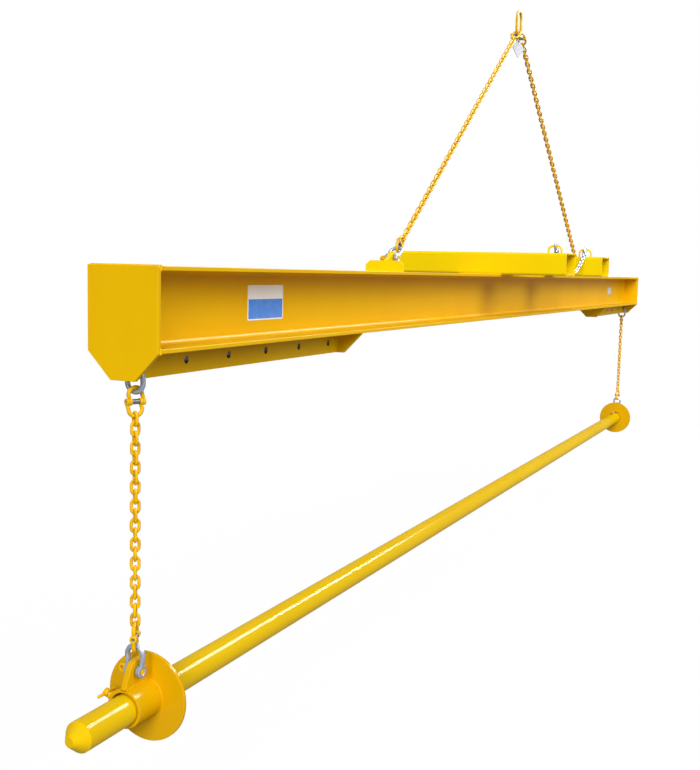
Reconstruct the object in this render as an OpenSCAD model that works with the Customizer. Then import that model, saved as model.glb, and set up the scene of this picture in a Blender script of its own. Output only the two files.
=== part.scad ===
// Spreader beam: a two-leg chain sling carries a wide-flange beam, and two hanging chains carry a
// reel bar in clamp collars below it. Origin: where a crane hook bears inside the master link.
// +X runs along the beam, +Z is up. Millimetres.

/* [Beam] */
// Length of the beam over its end plates
beam_len = 6100; // [5700:50:6500]
// Depth of the beam's section
beam_h = 203; // [190:1:230]
// Width of the beam's flanges
flange_w = 203; // [190:1:230]
// Thickness of the flanges
flange_t = 11; // [9:0.5:15]
// Thickness of the web
web_t = 7.3; // [6:0.1:10]
// Radius of the fillets between web and flanges
root_r = 11.4; // [8:0.2:14]

/* [End plates and hanging lugs] */
// Thickness of the end plates
end_plate_t = 12; // [10:1:16]
// Depth of the end plates and lug plates below the beam
tab_h = 67; // [62:1:80]
// Width of the end plates' bottom edge
tab_w = 70; // [64:1:90]
// Thickness of the lug plates under the beam
lug_plate_t = 16; // [12:1:18]
// Number of hanging holes in each lug plate
lug_holes = 6; // [2:1:8]
// Distance between hanging holes
lug_hole_pitch = 200; // [150:10:220]
// Diameter of the hanging holes, also in the other lugs
lug_hole_d = 20; // [18:0.5:24]
// Distance from the end of the beam to the first hanging hole
lug_hole_inset = 50; // [46:1:70]
// Distance from the underside of the beam down to the hanging holes
lug_hole_drop = 33.5; // [28:0.5:38]
// Distance from the last hanging hole to the lug plate's inner end
lug_plate_tail = 60; // [40:5:100]
// Thickness of the gussets at the lug plates' inner ends
gusset_t = 10; // [8:1:14]

/* [Fork pockets] */
// Length of the pockets, across the beam
pocket_len = 800; // [700:10:900]
// Outside width of the pockets
pocket_w = 175; // [160:1:200]
// Outside height of the pockets
pocket_h = 100; // [80:1:120]
// Wall of the pockets
pocket_wall = 6; // [5:0.5:8]
// Outside corner radius of the pockets
pocket_r = 12; // [10:1:16]
// Distance between the middles of the two pockets
pocket_pitch = 750; // [600:10:900]

/* [Top lugs] */
// Distance from the middle of the beam to each top shackle pin
top_pin_x = 1475; // [1350:5:1550]
// Height of the top shackle pins above the beam
top_pin_h = 50; // [45:1:60]
// Thickness of the top lugs
top_lug_t = 16; // [12:1:18]
// Radius of the top lugs round their holes
top_lug_r = 25; // [20:1:28]
// Distance from the pin to the stop plate's inner face
stop_reach = 62; // [50:1:80]
// Distance from the pin to the inboard toe of the top lug
toe_reach = 60; // [50:1:80]
// Width of the stop plates across the beam
stop_w = 150; // [120:1:180]
// Height of the stop plates
stop_h = 40; // [30:1:44]
// Thickness of the stop plates
stop_t = 10; // [8:1:14]
// Width of the stop plates' corner chamfers
stop_chamfer_w = 18; // [10:1:24]
// Height of the stop plates' corner chamfers
stop_chamfer_h = 15; // [8:1:20]

/* [Master link and tag] */
// Wire diameter of the master link
link_wire = 14; // [12:0.5:18]
// Inside length of the master link
link_in_l = 105; // [95:1:130]
// Inside width of the master link
link_in_w = 56; // [54:1:70]
// Wire diameter of the tag's ring
ring_wire = 3; // [2:0.5:4]
// Inside diameter of the tag's ring
ring_in_d = 24; // [22:1:30]
// Diagonal of the sling tag
tag_diagonal = 92; // [70:1:100]
// Thickness of the sling tag
tag_t = 3; // [2:0.5:4]
// Diameter of the tag's hole
tag_hole_d = 10; // [9:0.5:12]
// Distance from the tag's top corner to its hole
tag_hole_drop = 13; // [12:0.5:18]
// Angle that the tag's face is turned from the beam's side
tag_turn = 20; // [0:1:25]

/* [Load chain and couplers] */
// Wire diameter of the load chain
chain_wire = 8; // [7:0.5:9]
// Inside length of a chain link
chain_in_l = 24; // [23:0.5:28]
// Inside width of a chain link
chain_in_w = 10.5; // [10:0.5:12]
// Links in each sling leg
leg_links = 70; // [68:2:76]
// Links in each hanging chain
drop_links = 22; // [14:2:30]
// Wire diameter of the couplers
coupler_wire = 10; // [9:0.5:11]
// Inside width of the couplers
coupler_in_w = 26; // [25:0.5:30]
// Distance between the wire middles of a coupler's two ends
coupler_l = 70; // [66:1:80]
// Diameter of the couplers' pins
coupler_pin_d = 8; // [6:0.5:9]
// Radius of the knuckles round the couplers' pins
knuckle_r = 9; // [8:0.5:10]
// Depth of the necks between knuckles and shanks
neck_d = 9; // [7:0.5:9]
// Width of one knuckle
knuckle_w = 7.2; // [6:0.1:8]
// Distance of the couplers' pin ends inside the outer knuckles
coupler_pin_inset = 1.5; // [0.5:0.1:2]
// Outside diameter of the sleeves that hold the couplers' pins
sleeve_pin_od = 13; // [12:0.5:15]
// Turn of a hanging chain's couplers from square to their shackles
coupler_turn = 25; // [0:1:25]

/* [Shackles] */
// Wire diameter of the shackles
shackle_wire = 13; // [12:0.5:14]
// Diameter of the shackle pins
shackle_pin_d = 16; // [14:0.5:17]
// Gap between a shackle's ears
shackle_jaw = 22; // [20:0.5:26]
// Inside radius of a shackle's bow
shackle_bow_r = 16.5; // [15:0.5:19]
// Distance from the pin's axis to the inside of the bow
shackle_reach = 56; // [54:1:64]
// Radius of a shackle's ears
shackle_ear_r = 16.5; // [15:0.5:18]
// Swell of the shackles' legs over their bows, on the radius
leg_swell = 0.4; // [0.3:0.05:0.6]

/* [Reel bar and collars] */
// Outside diameter of the reel bar
bar_d = 76.1; // [70:0.1:80]
// Wall of the reel bar
bar_wall = 5; // [3.5:0.5:8]
// Distance that the bar's tips reach past the beam's ends
bar_overhang = 190; // [160:5:250]
// Length of the bar's tapered noses
nose_l = 33; // [25:1:50]
// Diameter of the noses' flat tips
nose_tip_d = 24; // [16:1:40]
// Length of the noses' plugs inside the bar
nose_plug_l = 30; // [20:1:50]
// Bore of the collars
collar_bore = 82; // [81.5:0.5:86]
// Outside diameter of the collars' sleeves
collar_od = 98; // [94:1:106]
// Length of the collars' sleeves
collar_l = 90; // [84:1:110]
// Diameter of the collars' discs
disc_d = 230; // [210:1:260]
// Thickness of the collars' discs
disc_t = 10; // [8:1:14]
// Height of the collar lug's hole above the sleeve's axis
collar_hole_h = 82; // [80:1:92]
// Radius of the collar lug round its hole
collar_lug_r = 30; // [26:1:32]
// Height of the collar lug's outer shoulder above the sleeve
collar_lug_foot = 6; // [3:0.5:12]
// Thickness of the collar lugs
collar_lug_t = 16; // [12:1:18]

/* [Clamp screws] */
// Angle of the clamp screw above level
clamp_angle = 20; // [10:1:30]
// Distance from the sleeve's outer end to the clamp screw
clamp_inset = 18; // [14:1:30]
// Diameter of the clamp screw
clamp_d = 12; // [10:0.5:14]
// Height of the chamfer on the clamp screw's tip
clamp_chamfer = 1.8; // [1:0.1:2.5]
// Height of the clamp nut
clamp_nut_h = 10; // [8:0.5:14]
// Width of the clamp nut over its corners
clamp_nut_w = 22; // [20:0.5:26]
// Gap between the clamp nut and the handle's hub
clamp_grip = 3; // [2:0.5:12]
// Diameter of the handle's hub
hub_d = 20; // [18:0.5:24]
// Height of the handle's hub
hub_h = 14; // [12:0.5:20]
// Diameter of the handle's bar
tommy_d = 8; // [6:0.5:10]
// Length of the handle's bar
tommy_l = 62; // [50:1:64]

/* [Safety chain] */
// Wire diameter of the eyes on the pockets
eye_rod = 10; // [8:0.5:12]
// Width of the eyes between rod middles
eye_w = 60; // [50:1:70]
// Height of the eyes above the pockets
eye_h = 40; // [36:1:50]
// Bend radius of the eyes at the rod's middle
eye_bend_r = 20; // [14:1:24]
// Distance from the pocket's end to the middle of the eye
eye_inset = 92; // [60:1:120]
// Distance from the pocket's inner side to the eye's rod
eye_setback = 18.5; // [18:0.5:30]
// Wire diameter of the safety chain
safety_wire = 6; // [5:0.5:7]
// Inside width of a safety chain link
safety_in_w = 9; // [9:0.5:11]
// Slimming of the safety links' sides, on the radius
safety_waist = 0.2; // [0.1:0.05:0.3]
// Links in the safety chain
safety_links = 35; // [31:2:35]
// Slope of the safety chain at its ends
safety_slope = 39; // [30:1:42]
// Wire diameter of the small shackles
small_wire = 8; // [7:0.5:9]
// Diameter of the small shackles' pins
small_pin_d = 8; // [7:0.5:8.5]
// Gap between a small shackle's ears
small_jaw = 14; // [12:0.5:16]
// Inside radius of a small shackle's bow
small_bow_r = 10; // [9:0.5:12]
// Distance from a small shackle's pin to the inside of its bow
small_reach = 34; // [32:1:40]
// Radius of a small shackle's ears
small_ear_r = 8.5; // [8:0.5:10]

/* [Plates] */
// Length of the rating plate
rating_l = 200; // [150:5:260]
// Height of the rating plate
rating_h = 100; // [80:1:110]
// Distance from the beam's end to the rating plate
rating_inset = 550; // [300:10:900]
// Length of the data plate
data_l = 119; // [90:1:150]
// Height of the data plate
data_h = 51; // [40:1:70]
// Distance from the beam's far end to the data plate
data_inset = 527; // [300:10:900]
// Thickness of both plates
plate_t = 1.5; // [1:0.1:2]
// Corner radius of both plates
plate_r = 6; // [3:0.5:10]
// Height of the middle of both plates below the beam's top
plate_drop = 97.5; // [90:0.5:110]

/* [Clearances] */
// Bearing gap between pieces that hang on each other
seat_gap = 0.3; // [0.25:0.05:0.4]
// Radial clearance of pins in their own ears, and of the bar's plugs
pin_fit = 0.1; // [0.05:0.01:0.2]
// Radial clearance of the clamp screws
screw_fit = 0.08; // [0.05:0.01:0.1]
// Side gap between knuckles
knuckle_gap = 0.3; // [0.2:0.05:0.5]

/* [Hidden] */
$fn = 48;
EPS = 0.01;
OVER = 10;
NECK_LAP = 1;
NUT_ROOT = 2;
// Shackle pin heads, as shares of the pin's diameter
PIN_COLLAR_D = 1.5;
PIN_COLLAR_H = 0.25;
PIN_EYE_R = 0.75;
PIN_EYE_T = 0.5;
PIN_EYE_HOLE_R = 0.34;
// Places of a pin's eye and its hole outside the collar, as shares of the eye's radius
EYE_OUT = 0.8;
EYE_HOLE_OUT = 0.9;
// Angle where the collar lug's outer side leaves its round head
LUG_OUTER_TOUCH = 20;
YELLOW = "gold";
ZINC = "silver";

// Wire lengths along a chain, between the wire middles that bear on each other
chain_step = chain_in_l - seat_gap;
chain_end = chain_in_l / 2 - coupler_wire / 2 - seat_gap;
shackle_seat = shackle_reach - seat_gap - coupler_wire / 2;
pin_shift = lug_hole_d / 2 - shackle_pin_d / 2 - seat_gap;
function chain_span(n) = 2 * chain_end + (n - 1) * chain_step;
// Turn from one link of a hanging chain to the next, a little over square
chain_twist = 90 + (90 - 2 * coupler_turn) / (drop_links + 1);

// Sling triangle
crown_r = (link_in_w + link_wire) / 2;
crown_z = -(link_in_l - link_in_w / 2);
leg_start = link_in_w / 2 - seat_gap - coupler_wire / 2;
leg_l = leg_start + 2 * coupler_l + chain_span(leg_links) + shackle_seat;
leg_drop = sqrt(leg_l * leg_l - top_pin_x * top_pin_x);
leg_angle = atan2(leg_drop, top_pin_x);
top_pin_z = crown_z - leg_drop;

// Beam levels
beam_top = top_pin_z - top_pin_h;
beam_under = beam_top - beam_h;
pocket_top = beam_top + pocket_h;
beam_end = beam_len / 2;
lug_plate_l = lug_hole_inset + (lug_holes - 1) * lug_hole_pitch + lug_plate_tail - end_plate_t;

// Hanging gear
drop_x = beam_end - lug_hole_inset;
upper_pin_z = beam_under - lug_hole_drop - pin_shift;
drop_l = 2 * shackle_seat + 2 * coupler_l + chain_span(drop_links);
lower_pin_z = upper_pin_z - drop_l;
collar_z = lower_pin_z - pin_shift - collar_hole_h;
bar_z = collar_z - (collar_bore - bar_d) / 2 + seat_gap;
bar_half = beam_end + bar_overhang - nose_l;
disc_x = drop_x - collar_l / 2;

// Couplers
coupler_r = (coupler_in_w + coupler_wire) / 2;
shank_low = knuckle_r + 2 * knuckle_gap;
knuckle_face = coupler_r + knuckle_gap / 2;
sleeve_pin_l = 2 * (coupler_r - knuckle_gap / 2 - knuckle_w) - 2 * knuckle_gap;

// Clamp screw, measured out from the sleeve's axis
bar_shift = collar_z - bar_z;
bar_reach = sqrt(bar_d * bar_d / 4 - pow(bar_shift * cos(clamp_angle), 2)) - bar_shift * sin(clamp_angle);
clamp_tip = bar_reach + seat_gap;
clamp_nut_top = collar_od / 2 + clamp_nut_h;
clamp_hub = clamp_nut_top + clamp_grip;
clamp_x = drop_x + collar_l / 2 - clamp_inset;

// Safety chain: a catenary between the small shackles' pins
eye_x = pocket_pitch / 2 - pocket_w / 2 + eye_setback;
eye_y = -(pocket_len / 2 - eye_inset);
eye_z = pocket_top + eye_h - eye_rod / 2;
small_seat = small_reach - eye_rod / 2 - seat_gap;
small_pin_x = eye_x - small_seat * cos(safety_slope);
small_pin_z = eye_z - small_seat * sin(safety_slope);
catenary = small_pin_x / ln(tan(safety_slope) + 1 / cos(safety_slope));
safety_half = catenary * tan(safety_slope);
safety_low = small_pin_z - catenary * (1 / cos(safety_slope) - 1);
// The end links bear on the pins, and the links between share the rest of the curve
safety_pin_off = small_pin_d / 2 + seat_gap;
safety_in_l = (2 * safety_half + 2 * safety_pin_off + (safety_links - 1) * seat_gap) / safety_links;
safety_end = safety_in_l / 2 - safety_pin_off;
safety_step = safety_in_l - seat_gap;
safety_middle = floor(safety_links / 2);
function catenary_x(s) = catenary * ln(s / catenary + sqrt(pow(s / catenary, 2) + 1));
function catenary_z(s) = sqrt(catenary * catenary + s * s) - catenary;

// The right side, at positive X, is drawn, and the left side is its mirror image
module on_left() { mirror([1, 0, 0]) children(); }
module on_both() {
    children();
    on_left() children();
}

// Round wire bent in an arc about Z, from the angle start
module wire_arc(r, wire, start, sweep) {
    rotate([0, 0, start]) rotate_extrude(angle = sweep) translate([r, 0]) circle(d = wire);
}

// Stands a shape drawn flat in XY up in XZ, with its Y upwards
module stand_xz() { rotate([90, 0, 0]) children(); }

// Stands a shape drawn flat in XY up in YZ, with its X along Y
module stand_yz() { rotate([90, 0, 90]) children(); }

// Long round link in XZ, its length along Z; its sides are slimmer than its ends by the waist
module oblong_link(in_l, in_w, wire, waist = 0) {
    r = (in_w + wire) / 2;
    straight = in_l - in_w;
    stand_xz() {
        for (up = [1, -1])
            translate([0, up * straight / 2, 0]) wire_arc(r, wire, up > 0 ? 0 : 180, 180);
        for (side = [1, -1])
            translate([side * r, 0, 0]) rotate([90, 0, 0])
                cylinder(d = wire - 2 * waist, h = straight + 2 * waist, center = true);
    }
}

module rounded_rect(w, h, r) {
    square([w - 2 * r, h], center = true);
    square([w, h - 2 * r], center = true);
    for (x = [1, -1], y = [1, -1])
        translate([x * (w / 2 - r), y * (h / 2 - r)]) circle(r);
}

// Row of chain links down from the origin, where the upper coupler's wire lies
module chain_row(n, turn) {
    for (k = [1 : n])
        translate([0, 0, -chain_end - (k - 1) * chain_step])
            rotate([0, 0, k * turn])
                oblong_link(chain_in_l, chain_in_w, chain_wire);
}

// Knuckle of a coupler half, from the face where the halves meet outwards or inwards
module knuckle(x, side) {
    translate([x, 0, 0]) rotate([0, side * 90, 0]) cylinder(r = knuckle_r, h = knuckle_w);
    neck_w = coupler_wire / 2 - knuckle_gap / 2;
    neck_x = side > 0 ? x : x - neck_w;
    translate([neck_x, -neck_d / 2, 0]) cube([neck_w, neck_d, shank_low + NECK_LAP]);
}

// One half of a coupler: a bent end with one outer and one inner knuckle on the pin's axis, X
module coupler_half() {
    bend_z = coupler_l / 2 - coupler_r;
    difference() {
        union() {
            translate([0, 0, bend_z]) stand_xz() wire_arc(coupler_r, coupler_wire, 0, 180);
            for (side = [1, -1])
                translate([side * coupler_r, 0, shank_low])
                    cylinder(d = coupler_wire, h = bend_z - shank_low);
            knuckle(-knuckle_face, -1);
            knuckle(coupler_r - knuckle_gap / 2, -1);
        }
        rotate([0, 90, 0]) cylinder(d = coupler_pin_d + 2 * pin_fit, h = 4 * coupler_r, center = true);
    }
}

module coupler_halves() {
    coupler_half();
    rotate([0, 180, 0]) coupler_half();
}

module coupler_pin() {
    length = 2 * (knuckle_face + knuckle_w - coupler_pin_inset);
    rotate([0, 90, 0]) cylinder(d = coupler_pin_d, h = length, center = true);
}

module coupler_sleeve() {
    rotate([0, 90, 0]) difference() {
        cylinder(d = sleeve_pin_od, h = sleeve_pin_l, center = true);
        cylinder(d = coupler_pin_d + 2 * pin_fit, h = sleeve_pin_l + OVER, center = true);
    }
}

// Bow of a shackle in YZ: pin axis along Y at the origin, bow upwards
module shackle_bow(wire, jaw, bow_in_r, reach, ear_r, pin_d) {
    bow_r = bow_in_r + wire / 2;
    bow_z = reach + wire / 2 - bow_r;
    ear_x = (jaw + wire) / 2;
    far = norm([ear_x, bow_z]);
    flare = atan2(bow_z, ear_x) - acos(bow_r / far);
    leg = sqrt(far * far - bow_r * bow_r);
    leg_d = wire + 2 * leg_swell;
    // The ears are spot-faced for the pin's collar
    face_r = (PIN_COLLAR_D * pin_d + 2 * ear_r) / 4;
    stand_yz() difference() {
        union() {
            translate([0, bow_z, 0]) wire_arc(bow_r, wire, -flare, 180 + 2 * flare);
            for (side = [1, -1])
                translate([side * ear_x, 0, 0]) {
                    rotate([0, 0, -side * flare]) rotate([-90, 0, 0])
                        cylinder(d = leg_d, h = leg + leg_swell);
                    rotate([0, 90, 0]) cylinder(r = ear_r, h = wire, center = true);
                }
        }
        rotate([0, 90, 0]) cylinder(d = pin_d + 2 * pin_fit, h = 4 * ear_x + 2 * wire, center = true);
        for (side = [1, -1])
            translate([side * (ear_x + wire), 0, 0]) rotate([0, 90, 0])
                cylinder(r = face_r, h = wire, center = true);
    }
}

// Screw pin of a shackle along Y, with its eye on the +Y side
module shackle_pin(d, jaw, wire) {
    half = jaw / 2 + wire;
    collar_h = PIN_COLLAR_H * d;
    eye_r = PIN_EYE_R * d;
    eye_x = half + collar_h + EYE_OUT * eye_r;
    hole_x = half + collar_h + EYE_HOLE_OUT * eye_r;
    stand_yz() difference() {
        union() {
            translate([-half, 0, 0]) rotate([0, 90, 0]) cylinder(d = d, h = 2 * half + collar_h);
            translate([half, 0, 0]) rotate([0, 90, 0]) cylinder(d = PIN_COLLAR_D * d, h = collar_h);
            translate([eye_x, 0, 0]) cylinder(r = eye_r, h = PIN_EYE_T * d, center = true);
        }
        translate([hole_x, 0, 0]) cylinder(r = PIN_EYE_HOLE_R * d, h = d, center = true);
    }
}

module load_shackle_bow() {
    shackle_bow(shackle_wire, shackle_jaw, shackle_bow_r, shackle_reach, shackle_ear_r, shackle_pin_d);
}
module load_shackle_pin() { shackle_pin(shackle_pin_d, shackle_jaw, shackle_wire); }

// Places on the right side of the assembly
module at_leg(along) {
    translate([0, 0, crown_z]) rotate([0, 90 + leg_angle, 0]) translate([0, 0, along]) children();
}
module at_top_pin() { translate([top_pin_x, 0, top_pin_z]) rotate([0, leg_angle - 90, 0]) children(); }
module at_upper_pin() { translate([drop_x, 0, upper_pin_z]) rotate([180, 0, 180]) children(); }
module at_lower_pin() { translate([drop_x, 0, lower_pin_z]) children(); }
module at_drop(down) { translate([drop_x, 0, upper_pin_z - shackle_seat - down]) children(); }
module at_collar() { translate([drop_x, 0, collar_z]) children(); }
module at_clamp() { translate([clamp_x, 0, collar_z]) rotate([clamp_angle - 90, 0, 0]) children(); }
module at_small_pin() {
    translate([small_pin_x, eye_y, small_pin_z])
        rotate([0, 90 - safety_slope, 0]) rotate([0, 0, 90]) children();
}

module leg_chain() {
    at_leg(leg_start + coupler_l) rotate([180, 0, 90]) chain_row(leg_links, 90);
}

// The upper couplers stand across the sling's plane, and the lower ones lie in it
module leg_couplers() {
    at_leg(leg_start + coupler_l / 2) rotate([0, 0, 90]) children();
    at_leg(leg_l - shackle_seat - coupler_l / 2) children();
}

// Upper coupler turned from square to its shackle, and lower coupler at the end of the twisted chain
module drop_couplers() {
    lower_turn = coupler_turn + (drop_links + 1) * chain_twist;
    at_drop(coupler_l / 2) rotate([0, 0, coupler_turn]) children();
    at_drop(1.5 * coupler_l + chain_span(drop_links)) rotate([0, 0, lower_turn]) children();
}

module drop_chain() {
    at_drop(coupler_l) rotate([0, 0, coupler_turn]) chain_row(drop_links, chain_twist);
}

module master_link() {
    color(YELLOW) translate([0, 0, -link_in_l / 2]) oblong_link(link_in_l, link_in_w, link_wire);
}

// The ring hangs on the bottom of the master link, and the tag on the ring
ring_r = (ring_in_d + ring_wire) / 2;
ring_z = -link_in_l + seat_gap - ring_in_d / 2;
tag_hole_z = ring_z - ring_r + ring_wire / 2 + seat_gap - tag_hole_d / 2;
module tag_ring() {
    color(ZINC) translate([0, 0, ring_z]) stand_yz() wire_arc(ring_r, ring_wire, 0, 360);
}
module sling_tag() {
    half = tag_diagonal / 2;
    color("white") translate([0, 0, tag_hole_z + tag_hole_drop - half]) rotate([0, 0, -tag_turn])
        stand_xz() linear_extrude(height = tag_t, center = true) difference() {
            polygon([[0, half], [half, 0], [0, -half], [-half, 0]]);
            translate([0, half - tag_hole_drop]) circle(d = tag_hole_d);
        }
}

module left_leg_chain() { color(YELLOW) on_left() leg_chain(); }
module right_leg_chain() { color(YELLOW) leg_chain(); }
module sling_coupler_halves() { color(YELLOW) on_both() leg_couplers() coupler_halves(); }
module sling_coupler_pins() { color(ZINC) on_both() leg_couplers() coupler_pin(); }
module sling_coupler_sleeves() { color("dimgray") on_both() leg_couplers() coupler_sleeve(); }

// Wide-flange section, drawn with its top edge at zero
module beam_section() {
    translate([-web_t / 2, -beam_h + flange_t / 2]) square([web_t, beam_h - flange_t]);
    for (y = [-flange_t, -beam_h])
        translate([-flange_w / 2, y]) square([flange_w, flange_t]);
    for (side = [1, -1], up = [1, -1])
        translate([side * web_t / 2, -beam_h / 2 + up * (beam_h / 2 - flange_t)])
            mirror([side > 0 ? 0 : 1, 0]) mirror([0, up > 0 ? 1 : 0]) difference() {
                translate([-EPS, -EPS]) square(root_r + EPS);
                translate([root_r, root_r]) circle(root_r);
            }
}

module main_beam() {
    color(YELLOW) translate([0, 0, beam_top]) stand_yz()
        linear_extrude(height = beam_len - 2 * end_plate_t, center = true) beam_section();
}

// Tapered tab below the beam, with its top edge at zero
tab_points = [[flange_w / 2, 0], [tab_w / 2, -tab_h], [-tab_w / 2, -tab_h], [-flange_w / 2, 0]];

module end_plate() {
    top_corners = [[-flange_w / 2, beam_h], [flange_w / 2, beam_h]];
    translate([beam_end - end_plate_t, 0, beam_under]) stand_yz()
        linear_extrude(height = end_plate_t) polygon(concat(tab_points, top_corners));
}
module left_end_plate() { color(YELLOW) on_left() end_plate(); }
module right_end_plate() { color(YELLOW) end_plate(); }

module lug_plate() {
    difference() {
        translate([beam_end - end_plate_t - lug_plate_l, -lug_plate_t / 2, beam_under - tab_h])
            cube([lug_plate_l, lug_plate_t, tab_h]);
        for (k = [0 : lug_holes - 1])
            translate([drop_x - k * lug_hole_pitch, 0, beam_under - lug_hole_drop])
                rotate([90, 0, 0]) cylinder(d = lug_hole_d, h = lug_plate_t + OVER, center = true);
    }
}
module left_lug_plate() { color(YELLOW) on_left() lug_plate(); }
module right_lug_plate() { color(YELLOW) lug_plate(); }

module lug_gussets() {
    color(YELLOW) on_both()
        translate([beam_end - end_plate_t - lug_plate_l - gusset_t, 0, beam_under])
            stand_yz() linear_extrude(height = gusset_t) polygon(tab_points);
}

module fork_pocket() {
    translate([pocket_pitch / 2, 0, beam_top + pocket_h / 2]) stand_xz()
        linear_extrude(height = pocket_len, center = true) difference() {
            rounded_rect(pocket_w, pocket_h, pocket_r);
            rounded_rect(pocket_w - 2 * pocket_wall, pocket_h - 2 * pocket_wall, pocket_r - pocket_wall);
        }
}
module left_fork_pocket() { color(YELLOW) on_left() fork_pocket(); }
module right_fork_pocket() { color(YELLOW) fork_pocket(); }

// Top lug in XZ: round over its hole, sloping to the stop plate's top and down to its toe
module top_lug() {
    head = [top_pin_x, top_pin_h];
    rise = top_pin_h - stop_h;
    stop_touch = acos(top_lug_r / norm([stop_reach, rise])) - atan2(rise, stop_reach);
    toe_touch = 180 + atan2(top_pin_h, toe_reach) - acos(top_lug_r / norm([toe_reach, top_pin_h]));
    shift = pin_shift * [cos(leg_angle), -sin(leg_angle)];
    translate([0, 0, beam_top]) stand_xz() linear_extrude(height = top_lug_t, center = true) difference() {
        union() {
            translate(head) circle(top_lug_r);
            polygon([
                [top_pin_x + stop_reach, 0],
                [top_pin_x + stop_reach, stop_h],
                head + top_lug_r * [cos(stop_touch), sin(stop_touch)],
                head,
                head + top_lug_r * [cos(toe_touch), sin(toe_touch)],
                [top_pin_x - toe_reach, 0]
            ]);
        }
        translate(head + shift) circle(d = lug_hole_d);
    }
}
module left_top_lug() { color(YELLOW) on_left() top_lug(); }
module right_top_lug() { color(YELLOW) top_lug(); }

module lug_stop_plates() {
    half = stop_w / 2;
    color(YELLOW) on_both() translate([top_pin_x + stop_reach, 0, beam_top]) stand_yz()
        linear_extrude(height = stop_t) polygon([
            [-half, 0], [half, 0], [half, stop_h - stop_chamfer_h], [half - stop_chamfer_w, stop_h],
            [-half + stop_chamfer_w, stop_h], [-half, stop_h - stop_chamfer_h]
        ]);
}

module top_shackle_bows() { color(ZINC) on_both() at_top_pin() load_shackle_bow(); }
module top_shackle_pins() { color(YELLOW) on_both() at_top_pin() load_shackle_pin(); }

// Bent rod eye in YZ, its feet on the pocket's top
module safety_eye() {
    post = eye_h - eye_rod / 2 - eye_bend_r;
    translate([eye_x, eye_y, pocket_top]) stand_yz() {
        for (side = [1, -1]) {
            translate([side * eye_w / 2, 0, 0]) rotate([-90, 0, 0]) cylinder(d = eye_rod, h = post);
            translate([side * (eye_w / 2 - eye_bend_r), post, 0])
                wire_arc(eye_bend_r, eye_rod, side > 0 ? 0 : 90, 90);
        }
        translate([0, post + eye_bend_r, 0]) rotate([0, 90, 0])
            cylinder(d = eye_rod, h = eye_w - 2 * eye_bend_r, center = true);
    }
}
module safety_eyes() { color(YELLOW) on_both() safety_eye(); }

// Thin blank plate on the web's near side, from its inset along the beam
module web_plate(x, l, h) {
    translate([x, -web_t / 2, beam_top - plate_drop]) stand_xz()
        linear_extrude(height = plate_t) rounded_rect(l, h, plate_r);
}
module rating_plate() {
    color("white") web_plate(-beam_end + rating_inset + rating_l / 2, rating_l, rating_h);
}
module data_plate() {
    color("white") web_plate(beam_end - data_inset - data_l / 2, data_l, data_h);
}

// Links first to last laid along the catenary, flat and upright in turn
module safety_run(first, last) {
    for (k = [first : last]) {
        s = -safety_half + safety_end + k * safety_step;
        translate([catenary_x(s), eye_y, safety_low + catenary_z(s)])
            rotate([0, 90 - atan(s / catenary), 0]) rotate([0, 0, k % 2 == 0 ? 90 : 0])
                oblong_link(safety_in_l, safety_in_w, safety_wire, safety_waist);
    }
}
module left_safety_chain() { color(ZINC) safety_run(0, safety_middle - 1); }
module right_safety_chain() { color(ZINC) safety_run(safety_middle, safety_links - 1); }

module safety_shackle_bows() {
    color(ZINC) on_both() at_small_pin()
        shackle_bow(small_wire, small_jaw, small_bow_r, small_reach, small_ear_r, small_pin_d);
}
module safety_shackle_pins() {
    color(ZINC) on_both() at_small_pin() shackle_pin(small_pin_d, small_jaw, small_wire);
}

module left_upper_shackle_bow() { color(ZINC) on_left() at_upper_pin() load_shackle_bow(); }
module left_upper_shackle_pin() { color(YELLOW) on_left() at_upper_pin() load_shackle_pin(); }
module right_upper_shackle_bow() { color(ZINC) at_upper_pin() load_shackle_bow(); }
module right_upper_shackle_pin() { color(YELLOW) at_upper_pin() load_shackle_pin(); }

module left_drop_chain() { color(YELLOW) on_left() drop_chain(); }
module left_coupler_halves() { color(YELLOW) on_left() drop_couplers() coupler_halves(); }
module left_coupler_pins() { color(ZINC) on_left() drop_couplers() coupler_pin(); }
module left_coupler_sleeves() { color("dimgray") on_left() drop_couplers() coupler_sleeve(); }
module right_drop_chain() { color(YELLOW) drop_chain(); }
module right_coupler_halves() { color(YELLOW) drop_couplers() coupler_halves(); }
module right_coupler_pins() { color(ZINC) drop_couplers() coupler_pin(); }
module right_coupler_sleeves() { color("dimgray") drop_couplers() coupler_sleeve(); }

module left_lower_shackle_bow() { color(ZINC) on_left() at_lower_pin() load_shackle_bow(); }
module left_lower_shackle_pin() { color(YELLOW) on_left() at_lower_pin() load_shackle_pin(); }
module right_lower_shackle_bow() { color(ZINC) at_lower_pin() load_shackle_bow(); }
module right_lower_shackle_pin() { color(YELLOW) at_lower_pin() load_shackle_pin(); }

module collar_sleeve() {
    difference() {
        at_collar() rotate([0, 90, 0]) difference() {
            cylinder(d = collar_od, h = collar_l, center = true);
            cylinder(d = collar_bore, h = collar_l + OVER, center = true);
        }
        at_clamp() cylinder(d = clamp_d + 2 * screw_fit, h = collar_od);
    }
}
module collar_disc() {
    translate([disc_x - disc_t, 0, collar_z]) rotate([0, 90, 0]) difference() {
        cylinder(d = disc_d, h = disc_t);
        translate([0, 0, -OVER / 2]) cylinder(d = collar_bore, h = disc_t + OVER);
    }
}

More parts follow.
